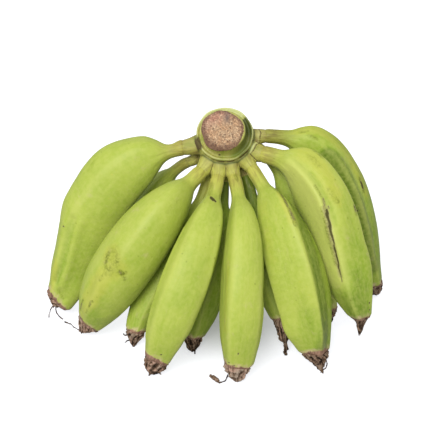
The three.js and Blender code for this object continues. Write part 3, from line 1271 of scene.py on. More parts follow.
        # Its rim is uneven, it twists on its way down, and its far end sags.
        uneven = lumps(around(turn) * 9, 7.0, self.seed + 2)[None, :]
        reach = share[:, None] * (1 + 0.3 * uneven * share[:, None] ** 2)
        table = np.array(self.shape.value, float)
        width = on_curve(table, 1, np.clip(reach, 0, 1).ravel()).reshape(reach.shape)
        twist = reach * FLOWER_TWIST * math.sin(self.seed * 2.3)
        angle = turn[None, :] + math.radians(self.roll) + twist
        wide, high, low = (float(v[0]) * FLOWER_FIT for v in self.size_at(np.array([1.0])))
        tall = np.where(np.sin(angle) > 0, high, low)
        way = self.end_way
        up = unit(self.back - way * (way @ self.back))
        side = np.cross(up, way)
        plain = side * (np.cos(angle) * wide)[..., None] + up * (np.sin(angle) * tall)[..., None]
        lean = (FLOWER_SAG[0] * math.sin(self.seed * 1.9), FLOWER_SAG[1] * math.cos(self.seed * 2.7))
        sag = side * lean[0] + up * lean[1] + np.array(self.droop)
        centre = np.array(self.tip) + way * (reach * self.reach - FLOWER_SINK)[..., None]
        centre = centre + sag * (reach**2)[..., None]
        return centre + plain * width[..., None], centre, reach

    def make_flower_end(self, dress: Dress) -> bpy.types.Object:
        """Builds the dried flower's crumpled remains.

        Args:
            dress: what they wear.

        Returns:
            The piece.
        """
        share, turn = np.linspace(0, 1, FLOWER_RINGS), once_round(FLOWER_SIDES)
        rings, centre, reach = self.flower_tube(share, turn)
        # Broad pleats and thin ones wander down the flower, over crumples and a fine grain.
        wander = lumps(on_tube(reach * self.reach, turn, 12.0)[..., [1, 2, 0]], 9.0, self.seed + 4)
        pleat = np.abs(np.sin(4.5 * turn[None, :] + self.seed + 1.6 * wander)) ** 0.6
        thin = np.abs(np.sin(11 * turn[None, :] + self.seed * 2 + 2.6 * wander)) ** 0.7
        crumple = 1 - 2 * np.abs(lumps(rings * np.array([1, 1, 0.8]), 6.0, self.seed + 5))
        fine = lumps(rings, 1.5, self.seed + 8)
        opened = smooth(share, 0.0, 0.2)[:, None]
        push = 0.19 * (pleat - 0.75) + 0.06 * (thin - 0.6) + 0.26 * (crumple - 0.55) + 0.07 * fine
        rings = rings + (rings - centre) * (push * opened)[..., None]
        rings[..., 2] = np.maximum(rings[..., 2], 0.0)
        tone = 0.16 * (1 - smooth(share, 0, 0.3)) - 0.12 * smooth(share, 0.5, 1)
        tone = tone + FOLD_MIDDLE + self.faded
        # Darker where the skin is pushed in and in the pleats' troughs: painted shade in its creases.
        fold = tone[:, None] + push * (0.4 + 0.6 * opened) + 0.32 * (pleat - 0.6) + 0.2 * (thin - 0.6)
        values = {
            "fold": np.clip(fold, 0, 1),
            "peel": rings * MM,
            "lie": on_tube(reach * self.reach, turn, 9.0) * MM,
        }
        name = "flower_end_" + self.name
        return dress.make_closed(name + "_dry", name, rings, values)


SCAR, RUB, BLUSH, SHADE, PAINTED_LIGHT = Flaw.SCAR, Flaw.RUB, Flaw.BLUSH, Flaw.SHADE, Flaw.PAINTED_LIGHT

# Marks of the shade kind lay painted shade, and painted light where negative; front_6's pale face mark is
# painted light.
FRUITS = (
    Fruit(
        "front_1", Row.FRONT, 192, 18, 7.2, (24.5, 29.3), 14.2, 0.9, 30, 0.08,
        (-119, 53, 146), (-120.5, 34, 75), (-155, 20, 13.5), (-0.8, -0.2, -0.8), DriedShape.CONE, 7.5,
        seed=1, deep=0.06, ridged=1.7, crisp=0.2, olive=0.5, dry_from=0.972, dry_slant=0.008, dry_side=60,
        marks=(
            Mark(SCAR, ((0.627, 41),), 1.3, 0.9),
            Mark(BLUSH, ((0.8, 43), (0.87, 39), (0.95, 38)), 6, 0.9),
            Mark(SHADE, ((0.6, 29), (0.7, 24), (0.8, 20), (0.9, 27)), 5, 0.75),
            Mark(SHADE, ((0.62, -14), (0.75, -20), (0.93, -24)), 17, 0.2),
            Mark(RUB, ((0.936, 3), (0.951, -21)), 2.4, 0.8),
            Mark(RUB, ((0.35, 60), (0.38, 52)), 5, 0.45),
            Mark(RUB, ((0.2, 100), (0.22, 92)), 4, 0.4),
        ),
        creases=(
            Crease(((0.34, 82), (0.43, 78), (0.54, 68)), 18, -4.0),
            Crease(((0.56, 66), (0.64, 60)), 14, -1.3),
            Crease(((0.08, 84), (0.17, 88)), 14, 3.4),
            Crease(((0.9, -55), (0.97, -55)), 11, -4.2),
            Crease(((0.58, 28), (0.7, 23), (0.8, 19), (0.9, 27)), 4, 2.4),
            Crease(((0.58, 14), (0.69, 9), (0.8, 4), (0.9, 2)), 5, -1.6),
            Crease(((0.62, 44), (0.75, 40), (0.9, 40)), 6, -1.2),
            Crease(((0.936, 3), (0.951, -21)), 2.6, 1.6),
        ),
    ),
    Fruit(
        "front_2", Row.FRONT, 236, 19, 7, (28.5, 28.2), 12.6, 1, 2, 0.08,
        (-56, -12, 126), (-91.5, -32, 79), (-121, -19, 13), (-0.7, -0.2, -0.8), DriedShape.CONE, 12,
        seed=2, deep=0.02, crisp=0.2, faded=0.04, olive=0.15, dry_from=0.975, dry_slant=0.01, dry_side=110,
        droop=(0.8, 0, -1.6),
        marks=(
            Mark(BLUSH, ((0.565, 104), (0.6, 82)), 16, 0.8),
            Mark(RUB, ((0.56, 106), (0.6, 92)), 15, 0.62),
            Mark(RUB, ((0.568, 115), (0.583, 110), (0.597, 107)), 3.4, 1.05),
            Mark(RUB, ((0.542, 94), (0.568, 88)), 3.4, 0.9),
            Mark(RUB, ((0.606, 106), (0.614, 101), (0.617, 94), (0.604, 90)), 3, 0.9),
            Mark(RUB, ((0.594, 74), (0.598, 68), (0.587, 64)), 3.2, 1.15),
            Mark(SCAR, ((0.595, 73), (0.597, 71)), 1.1, 0.4),
            Mark(RUB, ((0.604, 62), (0.612, 58)), 3.4, 0.8),
            Mark(RUB, ((0.673, 97), (0.645, 95)), 3.4, 0.75),
            Mark(RUB, ((0.785, 88), (0.797, 92), (0.815, 91), (0.828, 90)), 2.2, 1.05),
            Mark(SCAR, ((0.795, 91), (0.812, 90)), 0.9, 0.4),
            Mark(RUB, ((0.842, 92), (0.875, 91)), 1.8, 0.8),
            Mark(RUB, ((0.83, 116), (0.87, 119), (0.925, 122)), 2.2, 1.0),
            Mark(SCAR, ((0.86, 118), (0.9, 120)), 1.1, 0.5),
            Mark(SHADE, ((0.4, 84), (0.55, 82)), 22, 0.28),
            Mark(RUB, ((0.2, 60), (0.28, 66)), 5, 0.4),
            Mark(BLUSH, ((0.66, 96), (0.8, 100)), 15, 0.9),
            Mark(BLUSH, ((0.84, 104), (0.93, 108)), 8, 0.7),
            Mark(SHADE, ((0.3, -14), (0.6, -12), (0.9, -6)), 16, 0.4),
            Mark(SHADE, ((0.86, 70), (0.93, 60)), 11, 0.45),
        ),
        creases=(
            Crease(((0.66, 98), (0.73, 90), (0.8, 80)), 4, -1.0),
            Crease(((0.7, 112), (0.8, 109), (0.92, 112)), 4, 1.1),
        ),
    ),
    Fruit(
        "front_3", Row.FRONT, 261, 23, 6.4, (23.5, 26), 12.8, 1.12, 40, 0.12,
        (-10, -36, 119), (-36, -72, 78), (-54.5, -78, 14), (-0.42, -0.3, -1), DriedShape.BLUNT, 15,
        seed=3, crisp=0.1, olive=0.12, dry_from=0.972, dry_slant=0.026, dry_side=135,
        droop=(1.4, 0, -1),
        marks=(
            Mark(SCAR, ((0.167, 110), (0.174, 102)), 1.7),
            Mark(SCAR, ((0.176, 104), (0.184, 94)), 3.0),
            Mark(SCAR, ((0.184, 92), (0.189, 80)), 1.8),
            Mark(SCAR, ((0.93, 83),), 1.5, 0.9),
            Mark(RUB, ((0.07, 140), (0.14, 124)), 5, 0.7),
            Mark(SHADE, ((0.35, 8), (0.6, 2), (0.9, 4)), 11, 0.55),
            Mark(SHADE, ((0.8, 70), (0.95, 60)), 14, 0.2),
            Mark(SHADE, ((0.5, 88), (0.66, 86)), 18, 0.28),
            Mark(RUB, ((0.42, 128), (0.46, 122)), 4, 0.4),
        ),
        creases=(
            Crease(((0.22, 50), (0.46, 42), (0.61, 31), (0.8, 28)), 3, -0.9),
            Crease(((0.35, 168), (0.6, 165), (0.88, 160)), 3, -0.8),
        ),
    ),
    Fruit(
        "front_4", Row.FRONT, 284, 25, 6.2, (19.8, 25.5), 12.8, 1.2, 40, 0.14,
        (28, -37, 123), (18.6, -78, 80), (17.4, -87, 15), (-0.1, -0.2, -1), DriedShape.BLUNT, 17,
        seed=4, crisp=0.12, olive=0.3, faded=0.2, dry_from=0.972, dry_slant=0.014, dry_side=150,
        marks=(
            Mark(SCAR, ((0.9, 100),), 1.3, 0.9),
            Mark(RUB, ((0.02, 92), (0.05, 84)), 3.4, 0.9),
            Mark(SCAR, ((0.955, 132),), 1.5, 0.9),
            Mark(SCAR, ((0.968, 112),), 1.5, 0.9),
            Mark(SHADE, ((0.3, -8), (0.6, -6), (0.9, 0)), 9, 0.6),
            Mark(RUB, ((0.3, 70), (0.33, 60)), 4, 0.35),
            Mark(BLUSH, ((0.5, 150), (0.8, 150)), 6, 0.5),
        ),
        creases=(
            Crease(((0.72, 12), (0.84, 12), (0.95, 14)), 11, -2.2),
            Crease(((0.6, 178), (0.78, 174)), 12, 1.8),
            Crease(((0.2, 178), (0.556, 176), (0.735, 172), (0.93, 168)), 3, -0.5),
            Crease(((0.3, 24), (0.5, 20), (0.7, 18), (0.97, 24)), 2.6, -1.1),
        ),
    ),
    Fruit(
        "front_5", Row.FRONT, 312, 25, 6.2, (27.5, 28.5), 13, 1.1, 86, 0.22,
        (60, -18, 126), (75.5, -58, 81), (89.5, -65.5, 12.5), (0.0, -0.3, -1), DriedShape.CONE, 15.5,
        seed=5, ridged=1.4, crisp=0.04, olive=0.25, faded=-0.16,
        dry_from=0.984, dry_slant=0.04, dry_side=80, droop=(5, 0, 0),
        marks=(
            Mark(RUB, ((0.2, 52), (0.24, 70), (0.29, 78), (0.34, 81), (0.39, 82)), 4.4, 1.1),
            Mark(SCAR, ((0.22, 60), (0.25, 73), (0.29, 79), (0.31, 80)), 1.6, 0.5),
            Mark(SCAR, ((0.33, 81), (0.37, 82)), 1.5, 0.5),
            Mark(BLUSH, ((0.24, 78), (0.29, 84), (0.37, 86)), 6, 0.9),
            # Painted shade on the right flank.
            Mark(SHADE, ((0.3, 30), (0.45, 46), (0.6, 52), (0.78, 58), (0.96, 64)), 16, 1.55),
            Mark(SHADE, ((0.78, 116), (0.95, 116)), 16, 0.45),
            Mark(SHADE, ((0.4, 0), (0.6, 10), (0.9, 20)), 18, 0.7),
            Mark(RUB, ((0.5, 120), (0.53, 116)), 4, 0.35),
            Mark(BLUSH, ((0.25, 150), (0.5, 160)), 9, 0.4),
        ),
        creases=(
            Crease(((0.26, 60), (0.35, 76), (0.55, 83), (0.76, 85), (0.93, 90)), 2.4, -1.1),
            Crease(((0.84, 174), (0.95, 174)), 11, -2.4),
            Crease(((0.42, 62), (0.6, 66), (0.8, 68)), 7, 1.6),
        ),
    ),
    Fruit(
        "front_6", Row.FRONT, 338, 19, 8, (25, 28), 10.2, 1, 78, 0.18,
        (116, 14, 156), (110, -22, 88), (131, -42, 35), (0.1, -0.3, -1), DriedShape.BEAK, 17,
        seed=6, crisp=0.05, olive=0.42, dry_from=0.982,
        marks=(
            Mark(SCAR, ((0.4, 163), (0.43, 164)), 1.1, 0.6),
            Mark(SCAR, ((0.455, 165), (0.475, 167)), 1.7),
            Mark(SCAR, ((0.475, 167), (0.505, 168), (0.554, 171)), 1.5),
            Mark(SCAR, ((0.554, 171), (0.615, 172.5), (0.65, 174)), 1.05),
            Mark(SCAR, ((0.65, 175), (0.685, 174.5), (0.722, 176)), 1.15, 0.95),
            Mark(SCAR, ((0.722, 176), (0.76, 178), (0.79, 178)), 0.8, 0.7),
            Mark(SCAR, (
                (0.44, 166), (0.5, 170), (0.56, 173.5), (0.62, 175), (0.7, 177), (0.76, 179),
            ), 3.6, 0.36),
            Mark(SCAR, ((0.44, 160), (0.452, 158)), 1.1, 0.55),
            Mark(RUB, ((0.33, 163), (0.386, 163), (0.43, 164)), 2, 0.8),
            Mark(RUB, ((0.44, 170), (0.54, 177), (0.7, 181)), 4, 0.9),
            Mark(SCAR, ((0.485, 82), (0.5, 84)), 2.0, 0.62),
            Mark(RUB, ((0.478, 82), (0.515, 85)), 3.4, 0.9),
            Mark(SCAR, ((0.924, 98),), 1.5, 0.9),
            Mark(SCAR, ((0.955, 98),), 1.3, 0.9),
            Mark(RUB, ((0.39, 139), (0.43, 135)), 8, 0.6),
            Mark(RUB, ((0.425, 132), (0.44, 130)), 2.6, 0.9),
            Mark(BLUSH, ((0.4, 140), (0.44, 134)), 9, 0.7),
            Mark(RUB, ((0.23, 112), (0.26, 118)), 8, 0.6),
            Mark(BLUSH, ((0.23, 114), (0.27, 118)), 10, 0.9),
            Mark(RUB, ((0.22, 80), (0.25, 84)), 4.5, 0.75),
            Mark(BLUSH, ((0.2, 110), (0.4, 130)), 17, 0.8),
            # A painted shadow line beside the ridge.
            Mark(SHADE, ((0.28, 154), (0.4, 156), (0.52, 160)), 5, 0.6),
            Mark(SHADE, ((0.7, 118), (0.85, 122), (0.97, 130)), 28, 0.45),
            # Painted light on the left face, which lies in shade.
            Mark(PAINTED_LIGHT, ((0.2, 196), (0.35, 196), (0.55, 196), (0.75, 196)), 22, 3.0),
            Mark(SHADE, ((0.45, 98), (0.6, 100), (0.8, 100)), 16, 0.25),
            Mark(SHADE, ((0.8, 146), (0.95, 146)), 20, 0.5),
            Mark(SHADE, ((0.85, 200), (0.97, 200)), 20, 0.35),
        ),
        creases=(
            Crease(((0.36, 62), (0.48, 70), (0.58, 78)), 27, 5.4),
            Crease(((0.15, 157), (0.25, 168), (0.35, 170), (0.45, 172), (0.6, 176)), 4, -1.5),
            Crease(((0.84, 168), (0.94, 164)), 9, -2.4),
            Crease(((0.2, 146), (0.35, 152), (0.5, 158)), 6, 1.8),
            Crease(((0.42, 164), (0.5, 167), (0.615, 173), (0.77, 178)), 1.7, 0.9),
        ),
    ),
    Fruit(
        "front_7", Row.FRONT, 365, 25, 6.4, (20.5, 27), 11.8, 0.86, 58, 0.16,
        (119, 64, 168), (128, 44, 80), (153, 47, 14), (0.2, 0, -1), DriedShape.BLUNT, 16,
        seed=7, deep=0.35, crisp=0.08, olive=0.7, dry_from=0.975,
        marks=(
            Mark(SCAR, ((0.465, 110), (0.487, 113)), 2.4, 0.9),
            Mark(RUB, ((0.45, 109), (0.5, 114)), 4.4, 1.0),
            Mark(SCAR, ((0.558, 160),), 1.6, 0.9),
            Mark(RUB, ((0.141, 122), (0.16, 118)), 3.4, 0.8),
            Mark(RUB, ((0.173, 137), (0.2, 139)), 3.4, 0.8),
            Mark(BLUSH, ((0.15, 100), (0.3, 92), (0.5, 100)), 15, 0.8),
            # Painted shade where front_6 overhangs this fruit.
            Mark(SHADE, (
                (0.29, 160), (0.366, 162), (0.45, 164), (0.56, 166), (0.7, 167), (0.86, 170),
            ), 14, 1.8),
            Mark(SHADE, ((0.33, 153), (0.42, 151), (0.52, 151), (0.7, 153)), 11, 0.9),
            Mark(SHADE, ((0.3, 60), (0.55, 90), (0.75, 96), (0.95, 100)), 22, 0.5),
            Mark(RUB, ((0.5, 100), (0.7, 108), (0.9, 112)), 12, 0.4),
            Mark(RUB, ((0.62, 120), (0.68, 118)), 4, 0.5),
        ),
        creases=(
            Crease(((0.3, 140), (0.45, 146), (0.6, 150), (0.85, 156)), 4, -1.3),
            Crease(((0.4, 122), (0.6, 128), (0.8, 134)), 6, 1.2),
        ),
    ),
    Fruit(
        "back_1", Row.BACK, 206, 26, 5, (16.3, 19.3), 8.6, 1, 40, 0.12,
        (-60, 80, 118), (-86, 70, 48), (-126, 22, 13), (0.2, 0.2, -1), DriedShape.CONE, 14,
        seed=8, deep=0.15, olive=0.4, sides=80, rings=120,
    ),
    Fruit(
        "back_2", Row.BACK, 245, 24, 5.4, (17.3, 19.3), 9.6, 1, 40, 0.12,
        (-19, 20, 96), (-59, -3, 51), (-76, -34, 14), (-0.3, -0.2, -1), DriedShape.CONE, 16,
        seed=9, deep=0.4, olive=0.12, sides=80, rings=120, dry_slant=0.012, dry_side=150,
        # Painted light: the stem is lightened, as if lit.
        marks=(Mark(SHADE, ((0.0, 90), (0.2, 90)), 60, -0.4),),
    ),
    Fruit(
        "back_3", Row.BACK, 269, 24, 5.4, (17.3, 19.3), 9.2, 1, 40, 0.12,
        (6, 16, 100), (-8, -32, 52), (-22, -43, 14), (-0.1, -0.2, -1), DriedShape.BLUNT, 16,
        # Painted shade: this fruit lies in shade behind the front row.
        seed=10, deep=1.0, olive=0.3, faded=-0.2, sides=80, rings=120,
    ),
    Fruit(
        "back_4", Row.BACK, 304, 24, 5.4, (15.3, 18.3), 8.8, 1, 40, 0.12,
        (40, 19, 100), (44.5, -8, 58), (58.5, -38, 31), (0.25, -0.3, -1), DriedShape.TUBE, 31,
        seed=11, deep=0.3, olive=0.7, sides=80, rings=120,
        # Painted shade over the stem, in the crown's shade.
        marks=(Mark(SHADE, ((0.0, 90), (0.32, 90)), 60, 2.3),),
    ),
    Fruit(
        "back_5", Row.BACK, 352, 24, 5.2, (17.3, 19.3), 9, 1, 40, 0.12,
        (72, 44, 130), (92, 24, 60), (107, 4, 14), (0.1, 0, -1), DriedShape.CONE, 16,
        seed=12, deep=0.4, olive=0.3, sides=80, rings=120,
    ),
)


# ---- The stalk ----


@dataclass(frozen=True)
class StalkPlaces:
    """Where points are round the stalk's axis, from the lip's own middle."""

    x: np.ndarray
    y: np.ndarray
    along: np.ndarray  # along the axis from the lip
    radius: np.ndarray
    turn: np.ndarray  # in radians, 0 to the right

    def near(self, degrees: float, width: float) -> np.ndarray:
        """A bell round one bearing, with its width in radians."""
        return hump(turned_from(self.turn, math.radians(degrees)), 0, width)

    def facing(self, degrees: float) -> np.ndarray:
        """How much each point faces one bearing, from -1 to 1."""
        return np.cos(self.turn - math.radians(degrees))

    def on_right(self) -> np.ndarray:
        """The crown's right side, where its skin folds."""
        return smooth(self.facing(0), 0.75, 0.86)

    def low(self) -> np.ndarray:
        """The part of the right side that lies below the axis."""
        return smooth(-self.turn, 0.1, 0.35)


@dataclass
class Stalk:
    """The cut length of the bunch's stalk, with the lip round its cut face and the crown's webs."""

    # Distance from the axis and along it from the lip, from the cut's edge to the rear cut.
    outline: tuple[tuple[float, float], ...] = (
        (0.01, 12.6), (17.6, 12.6), (18.9, 12.0), (19.2, 9.5), (19.8, 6.0), (20.4, 3.2), (21.2, 1.4),
        (22.6, 0.6), (23.6, 1.4), (24.5, 2.7), (25.4, 3.0), (26.0, 2.2), (26.2, 0.8), (25.8, -1.2),
        (24.4, -3.4), (22.6, -5.0), (22.8, -7.0), (23.4, -10.0), (24.2, -22.0), (23.8, -32.0),
        (21.6, -42.0), (21.2, -52.0), (19.8, -54.0), (0.01, -54.0),
    )
    rings: int = 170
    sides: int = 140
    lip_shift: tuple[float, float] = (0.4, 1.1)
    lip_onset: tuple[float, float] = (-9.0, -3.0)  # along the axis, where that shift comes in
    lip_wave: float = 0.6
    notch_at: float = 203.0  # the bearing of the torn notch in the lip
    notch_depth: float = 3.2
    web_foot: float = 11.0  # how far from the axis the webs start
    # Share of the web from its foot to a little inside the stem, and its thickness against the stem's.
    web_sizes: tuple[tuple[float, float], ...] = ((0, 1.9), (0.5, 1.3), (0.72, 1.1), (0.9, 1.0), (1, 0.82))
    web_overlap: float = 2.6  # how far the webs reach over the stems
    web_rings_each: int = 24
    web_sides: int = 32
    voxel: float = 0.7  # how fine the fused skin is
    soften_factor: float = 0.5
    soften_rounds: int = 4
    skin_radius: float = 24.0  # of the round skin that the stalk's patterns are laid on
    cut_radius: float = 19.4
    cut_height: float = 13.6
    cut_shift: tuple[float, float] = (-1.9, 0.1)
    cut_rings: int = 80
    cut_sides: int = 170
    # How the cut's rim folds down: share of its radius, and the height there.
    cut_skirt: tuple[tuple[float, float], ...] = ((1.0, -1.2), (0.985, -2.4), (0.96, -4.4))
    cut_dome: float = 0.9  # how high its middle stands over its edge
    cut_rounding: float = 2.0  # how wide the rounding inside its edge is

    def lathe_rings(self) -> np.ndarray:
        """The stalk's own skin, without its webs.

        Returns:
            The points, as rings down its axis.
        """
        table = np.array(self.outline, float)
        steps = np.concatenate([[0], np.cumsum(np.linalg.norm(np.diff(table, axis=0), axis=1))])
        at = np.linspace(0, steps[-1], self.rings)
        radius, along = np.interp(at, steps, table[:, 0]), np.interp(at, steps, table[:, 1])
        turn = once_round(self.sides)
        lip = hump(along, 1.5, 4.0) * smooth(radius, 21.5, 24.5)
        wave = waves(turn, (0.5, 2, 0.6), (0.35, 5, 2.0), (0.3, 9, 0.0))
        torn = hump(turned_from(turn, math.radians(self.notch_at)), 0, 0.16)
        reach = radius[:, None] + lip[:, None] * (self.lip_wave * wave - self.notch_depth * torn)[None, :]
        lift = lip[:, None] * waves(turn, (0.6, 3, 1.2), (0.4, 7, 0.0))[None, :]
        outward = ACROSS * np.cos(turn)[:, None] + UPWARD * np.sin(turn)[:, None]
        shift = ACROSS * self.lip_shift[0] + UPWARD * self.lip_shift[1]
        shift = shift * smooth(along, *self.lip_onset)[:, None]
        middle = STALK_CENTRE + shift[:, None] + AXIS * (along[:, None] + lift)[..., None]
        return middle + outward[None] * reach[..., None]

    def web_rings(self, fruit: Fruit) -> np.ndarray:
        """The crown's web under one fruit's stem.

        Args:
            fruit: the fruit.

        Returns:
            The points, as rings.
        """
        foot = round_stalk(fruit.fan, self.web_foot, fruit.row.value[0])
        way = fruit.spine.read(np.zeros(1))[1][0]
        share = np.linspace(0, 1, self.web_rings_each)
        size = fruit.neck * on_curve(np.array(self.web_sizes, float), 1, share)
        length = float(np.linalg.norm(fruit.root - foot)) + self.web_overlap
        straight = foot + unit(fruit.root - foot) * (share * length)[:, None]
        aimed = fruit.root + way * ((share - 1) * length + self.web_overlap)[:, None]
        lean = smooth(share, 0.45, 0.95)[:, None]
        return tube_rings(straight * (1 - lean) + aimed * lean, size, self.web_sides)

    def make_skin(self, fruits: Sequence[Fruit], dress: Dress) -> bpy.types.Object:
        """Fuses the stalk and its webs into one skin.

        Args:
            fruits: the fruits whose stems the webs carry.
            dress: what the skin wears.

        Returns:
            The piece.
        """
        rough = Skin()
        rough.add_rings(self.lathe_rings()[::-1])
        for fruit in fruits:
            rough.add_rings(self.web_rings(fruit))
        blank = make_object("stalk_blank", rough.all_points(), rough.faces, {})
        remesh = blank.modifiers.new("fuse", "REMESH")
        remesh.mode = "VOXEL"
        remesh.voxel_size = self.voxel * MM
        soften = blank.modifiers.new("soften", "SMOOTH")
        soften.factor, soften.iterations = self.soften_factor, self.soften_rounds
        shaped = blank.evaluated_get(bpy.context.evaluated_depsgraph_get()).to_mesh()
        points = np.empty(len(shaped.vertices) * 3)
        shaped.vertices.foreach_get("co", points)
        points = points.reshape(-1, 3) / MM
        faces = [list(p.vertices) for p in shaped.polygons]
        bpy.data.objects.remove(blank, do_unlink=True)
        return dress.make_piece("stalk_skin", "stalk", points, faces, self.skin_values(points, fruits))

    def places(self, points: np.ndarray) -> StalkPlaces:
        """Where points are round the stalk.

        Args:
            points: the points.

        Returns:
            Their places.
        """
        away = points - STALK_CENTRE
        along = away @ AXIS
        lip = smooth(along, *self.lip_onset)
        x, y = away @ ACROSS - self.lip_shift[0] * lip, away @ UPWARD - self.lip_shift[1] * lip
        return StalkPlaces(x, y, along, np.hypot(x, y), np.arctan2(y, x))

    def torn(self, p: StalkPlaces, between: np.ndarray, fold: np.ndarray) -> np.ndarray:
        """Where the skin is torn, creased or cut, and brown from it, and the painted shade under the lip's
        edge in the same brown.

        Args:
            p: the points' places.
            between: how much nearer each is to one web than to the next.
            fold: how far each is outside the fold on the crown's right.

        Returns:
            The mask.
        """
        crease = hump(between, 0, 0.6) * plateau(p.radius, (27, 30), (38, 44))
        notch = p.near(self.notch_at - 3, 0.27) * smooth(p.along, -7, -4)
        notch = notch * plateau(p.radius, (22.5, 24.5), (27.6, 29.2))
        spot = np.exp(-(((p.x + 5) ** 2 + (p.y + 21) ** 2) / 2.2)) * hump(p.along, 2.5, 1.6)
        # Painted shade under the lip's outer edge, strongest to its lower right.
        under = plateau(p.radius, (24.2, 25.6), (26.2, 27.0)) * hump(p.along, -1.9, 1.7)
        under = under * (0.5 + 0.5 * smooth(p.facing(-30), -0.2, 0.6))
        rear = 1 - smooth(p.along, -54, -52)
        split = hump(fold, 1.6, 0.7) * p.on_right()
        return np.clip(np.maximum.reduce([crease, notch, rear, under * 0.9, split * 0.7, spot]), 0, 1)

    def rim(self, p: StalkPlaces, fold: np.ndarray) -> np.ndarray:
        """Where the skin is palest: a painted highlight along the lip's edge and on the band inside it, both
        lightest on top, and the crown's fold.

        Args:
            p: the points' places.
            fold: how far each is outside the fold on the crown's right.

        Returns:
            The mask.
        """
        upper = np.sin(p.turn)
        top = np.where(p.x > 0, smooth(upper, 0.64, 0.76), smooth(upper, 0.0, 0.7))
        # Painted highlights, lightest on the lip's top.
        edge = hump(p.radius, 25.8, 0.7) * smooth(p.along, 0.2, 2.0) * (0.35 + 0.5 * top)
        band = smooth(p.radius, 21, 23.5) * smooth(p.along, -0.5, 1.5) * top * 0.75
        knuckle = hump(fold, 0, 0.8) * p.on_right()
        knuckle = knuckle * (0.35 + 0.65 * p.low()) * 0.6
        return np.maximum.reduce([edge, band, knuckle])

    def skin_values(self, points: np.ndarray, fruits: Sequence[Fruit]) -> dict[str, np.ndarray]:
        """What the stalk's finish reads at each point.

        Args:
            points: the skin's points.
            fruits: the fruits whose webs it has.

        Returns:
            Values by name.
        """
        p = self.places(points)
        distances = np.stack([self.web_distance(points, fruit) for fruit in fruits])
        near = np.sort(distances, axis=0)
        owner = np.argmin(distances, axis=0)
        fold = p.radius + 1.2 * lumps(points, 6, 2) - (31.5 - 2.8 * p.low())
        web = smooth(p.radius, 25.5, 28.5) * (1 - smooth(p.along, -6, -2))
        crown = 1 - smooth(p.radius, 27.5, 33)
        # Painted shade inside the lip's well, darkest on its right, and in the crease round the lip's foot
        # on its lower side.
        well = (1 - smooth(p.radius, 25.2, 25.9)) * plateau(p.along, (-3, -1), (10.5, 12.5))
        bearing = turned_from(p.turn, 0.0)
        shaded = well * plateau(bearing, (-1.7, -0.6), (0.66, 0.74))
        shaded = shaded * (0.72 + 0.24 * smooth(bearing, -0.35, 0.1))
        crease_shade = hump(p.radius, 27.4, 0.9) * plateau(p.along, (-9, -6), (-0.8, 0.6))
        crease_shade = crease_shade * smooth(-np.sin(p.turn - math.radians(10)), -0.35, 0.1)
        # A painted highlight low on the well's right.
        lit = well * p.near(302, 0.4) * (1 - smooth(p.along, 0.5, 4))
        peel = on_tube(p.along, p.turn, self.skin_radius) * MM
        olive = np.full(len(points), 0.5)
        for k, fruit in enumerate(fruits):
            mine = (owner == k) & (web > 0.02)
            peel[mine] = self.web_skin_place(points[mine], fruit)
            olive[mine] = fruit.olive + 0.3 * crown[mine]
        return {
            "peel": peel,
            "web": web,
            "olive": olive,
            "painted_lip_shade": np.maximum(shaded, crease_shade * 0.85),
            "painted_well_highlight": np.clip(lit * 1.2, 0, 1),
            "rim": self.rim(p, fold),
            "torn": self.torn(p, near[1] - near[0], fold),
        }

    @staticmethod
    def web_skin_place(points: np.ndarray, fruit: Fruit) -> np.ndarray:
        """Places on a web's skin, which carry on the pattern of the stem's skin, in metres.

        Args:
            points: the web's points.
            fruit: the fruit whose stem it carries.

        Returns:
            The places.
        """
        way = fruit.spine.read(np.zeros(1))[1][0]
        up = unit(fruit.back - way * (way @ fruit.back))
        side = np.cross(up, way)
        away = points - fruit.root
        return fruit.skin_place(away @ way, np.arctan2(away @ up, away @ side))

    def web_distance(self, points: np.ndarray, fruit: Fruit) -> np.ndarray:
        """How far points are from the middle line of a fruit's web.

        Args:
            points: the points.
            fruit: the fruit.

        Returns:
            The distances.
        """
        foot = round_stalk(fruit.fan, self.web_foot, fruit.row.value[0])
        line = fruit.root - foot
        t = np.clip((points - foot) @ line / (line @ line), 0, 1)
        return np.linalg.norm(points - foot - t[:, None] * line, axis=1)

    def make_cut(self, dress: Dress) -> bpy.types.Object:
        """Builds the cut face's fibrous dome.

        Args:
            dress: what it wears.

        Returns:
            The piece.
        """
        skirt = np.array(self.cut_skirt)
        radius = np.concatenate([np.linspace(0.02, 1, self.cut_rings), skirt[:, 0]]) * self.cut_radius
        drop = np.concatenate([np.zeros(self.cut_rings), skirt[:, 1]])
        turn = once_round(self.cut_sides)
        uneven = 1 + waves(turn, (0.02, 3, 1.2), (0.02, 5, 0.0)) + 0.03 * lumps(around(turn) * 10, 3.0, 6)
        flat = radius[:, None] * uneven[None, :]
        x, y = flat * np.cos(turn), flat * np.sin(turn)
        place_at = np.stack([x, y, np.zeros_like(x)], axis=-1)
        rim = smooth(flat, self.cut_radius - self.cut_rounding, self.cut_radius)
        height = self.cut_dome * (1 - (flat / self.cut_radius) ** 2 - rim) + drop[:, None]
        height = height + 0.4 * lumps(place_at, 1.4, 3) + 0.5 * lumps(place_at, 5, 4)
        points = (
            STALK_CENTRE
            + AXIS * (self.cut_height + height)[..., None]
            + ACROSS * (x + self.cut_shift[0])[..., None]
            + UPWARD * (y + self.cut_shift[1])[..., None]
        )
        low_edge = smooth(flat, 9, self.cut_radius) * smooth(-y - 0.6 * x, -6, 14)
        values = {
            "peel": place_at * MM,
            "edge": np.maximum(low_edge * 0.98, smooth(flat, 12.5, 19.2) ** 1.5 * 0.7),
            "smudge": hump(x, 4.5, 3.0) * hump(y, 12, 5.5),
            "pink": smooth(y - 0.6 * x, 2, 16),
        }
        inside_first = {key: grid[::-1] for key, grid in values.items()}
        return dress.make_closed("stalk_cut_face", "stalk", points[::-1], inside_first)


# ---- Threads ----


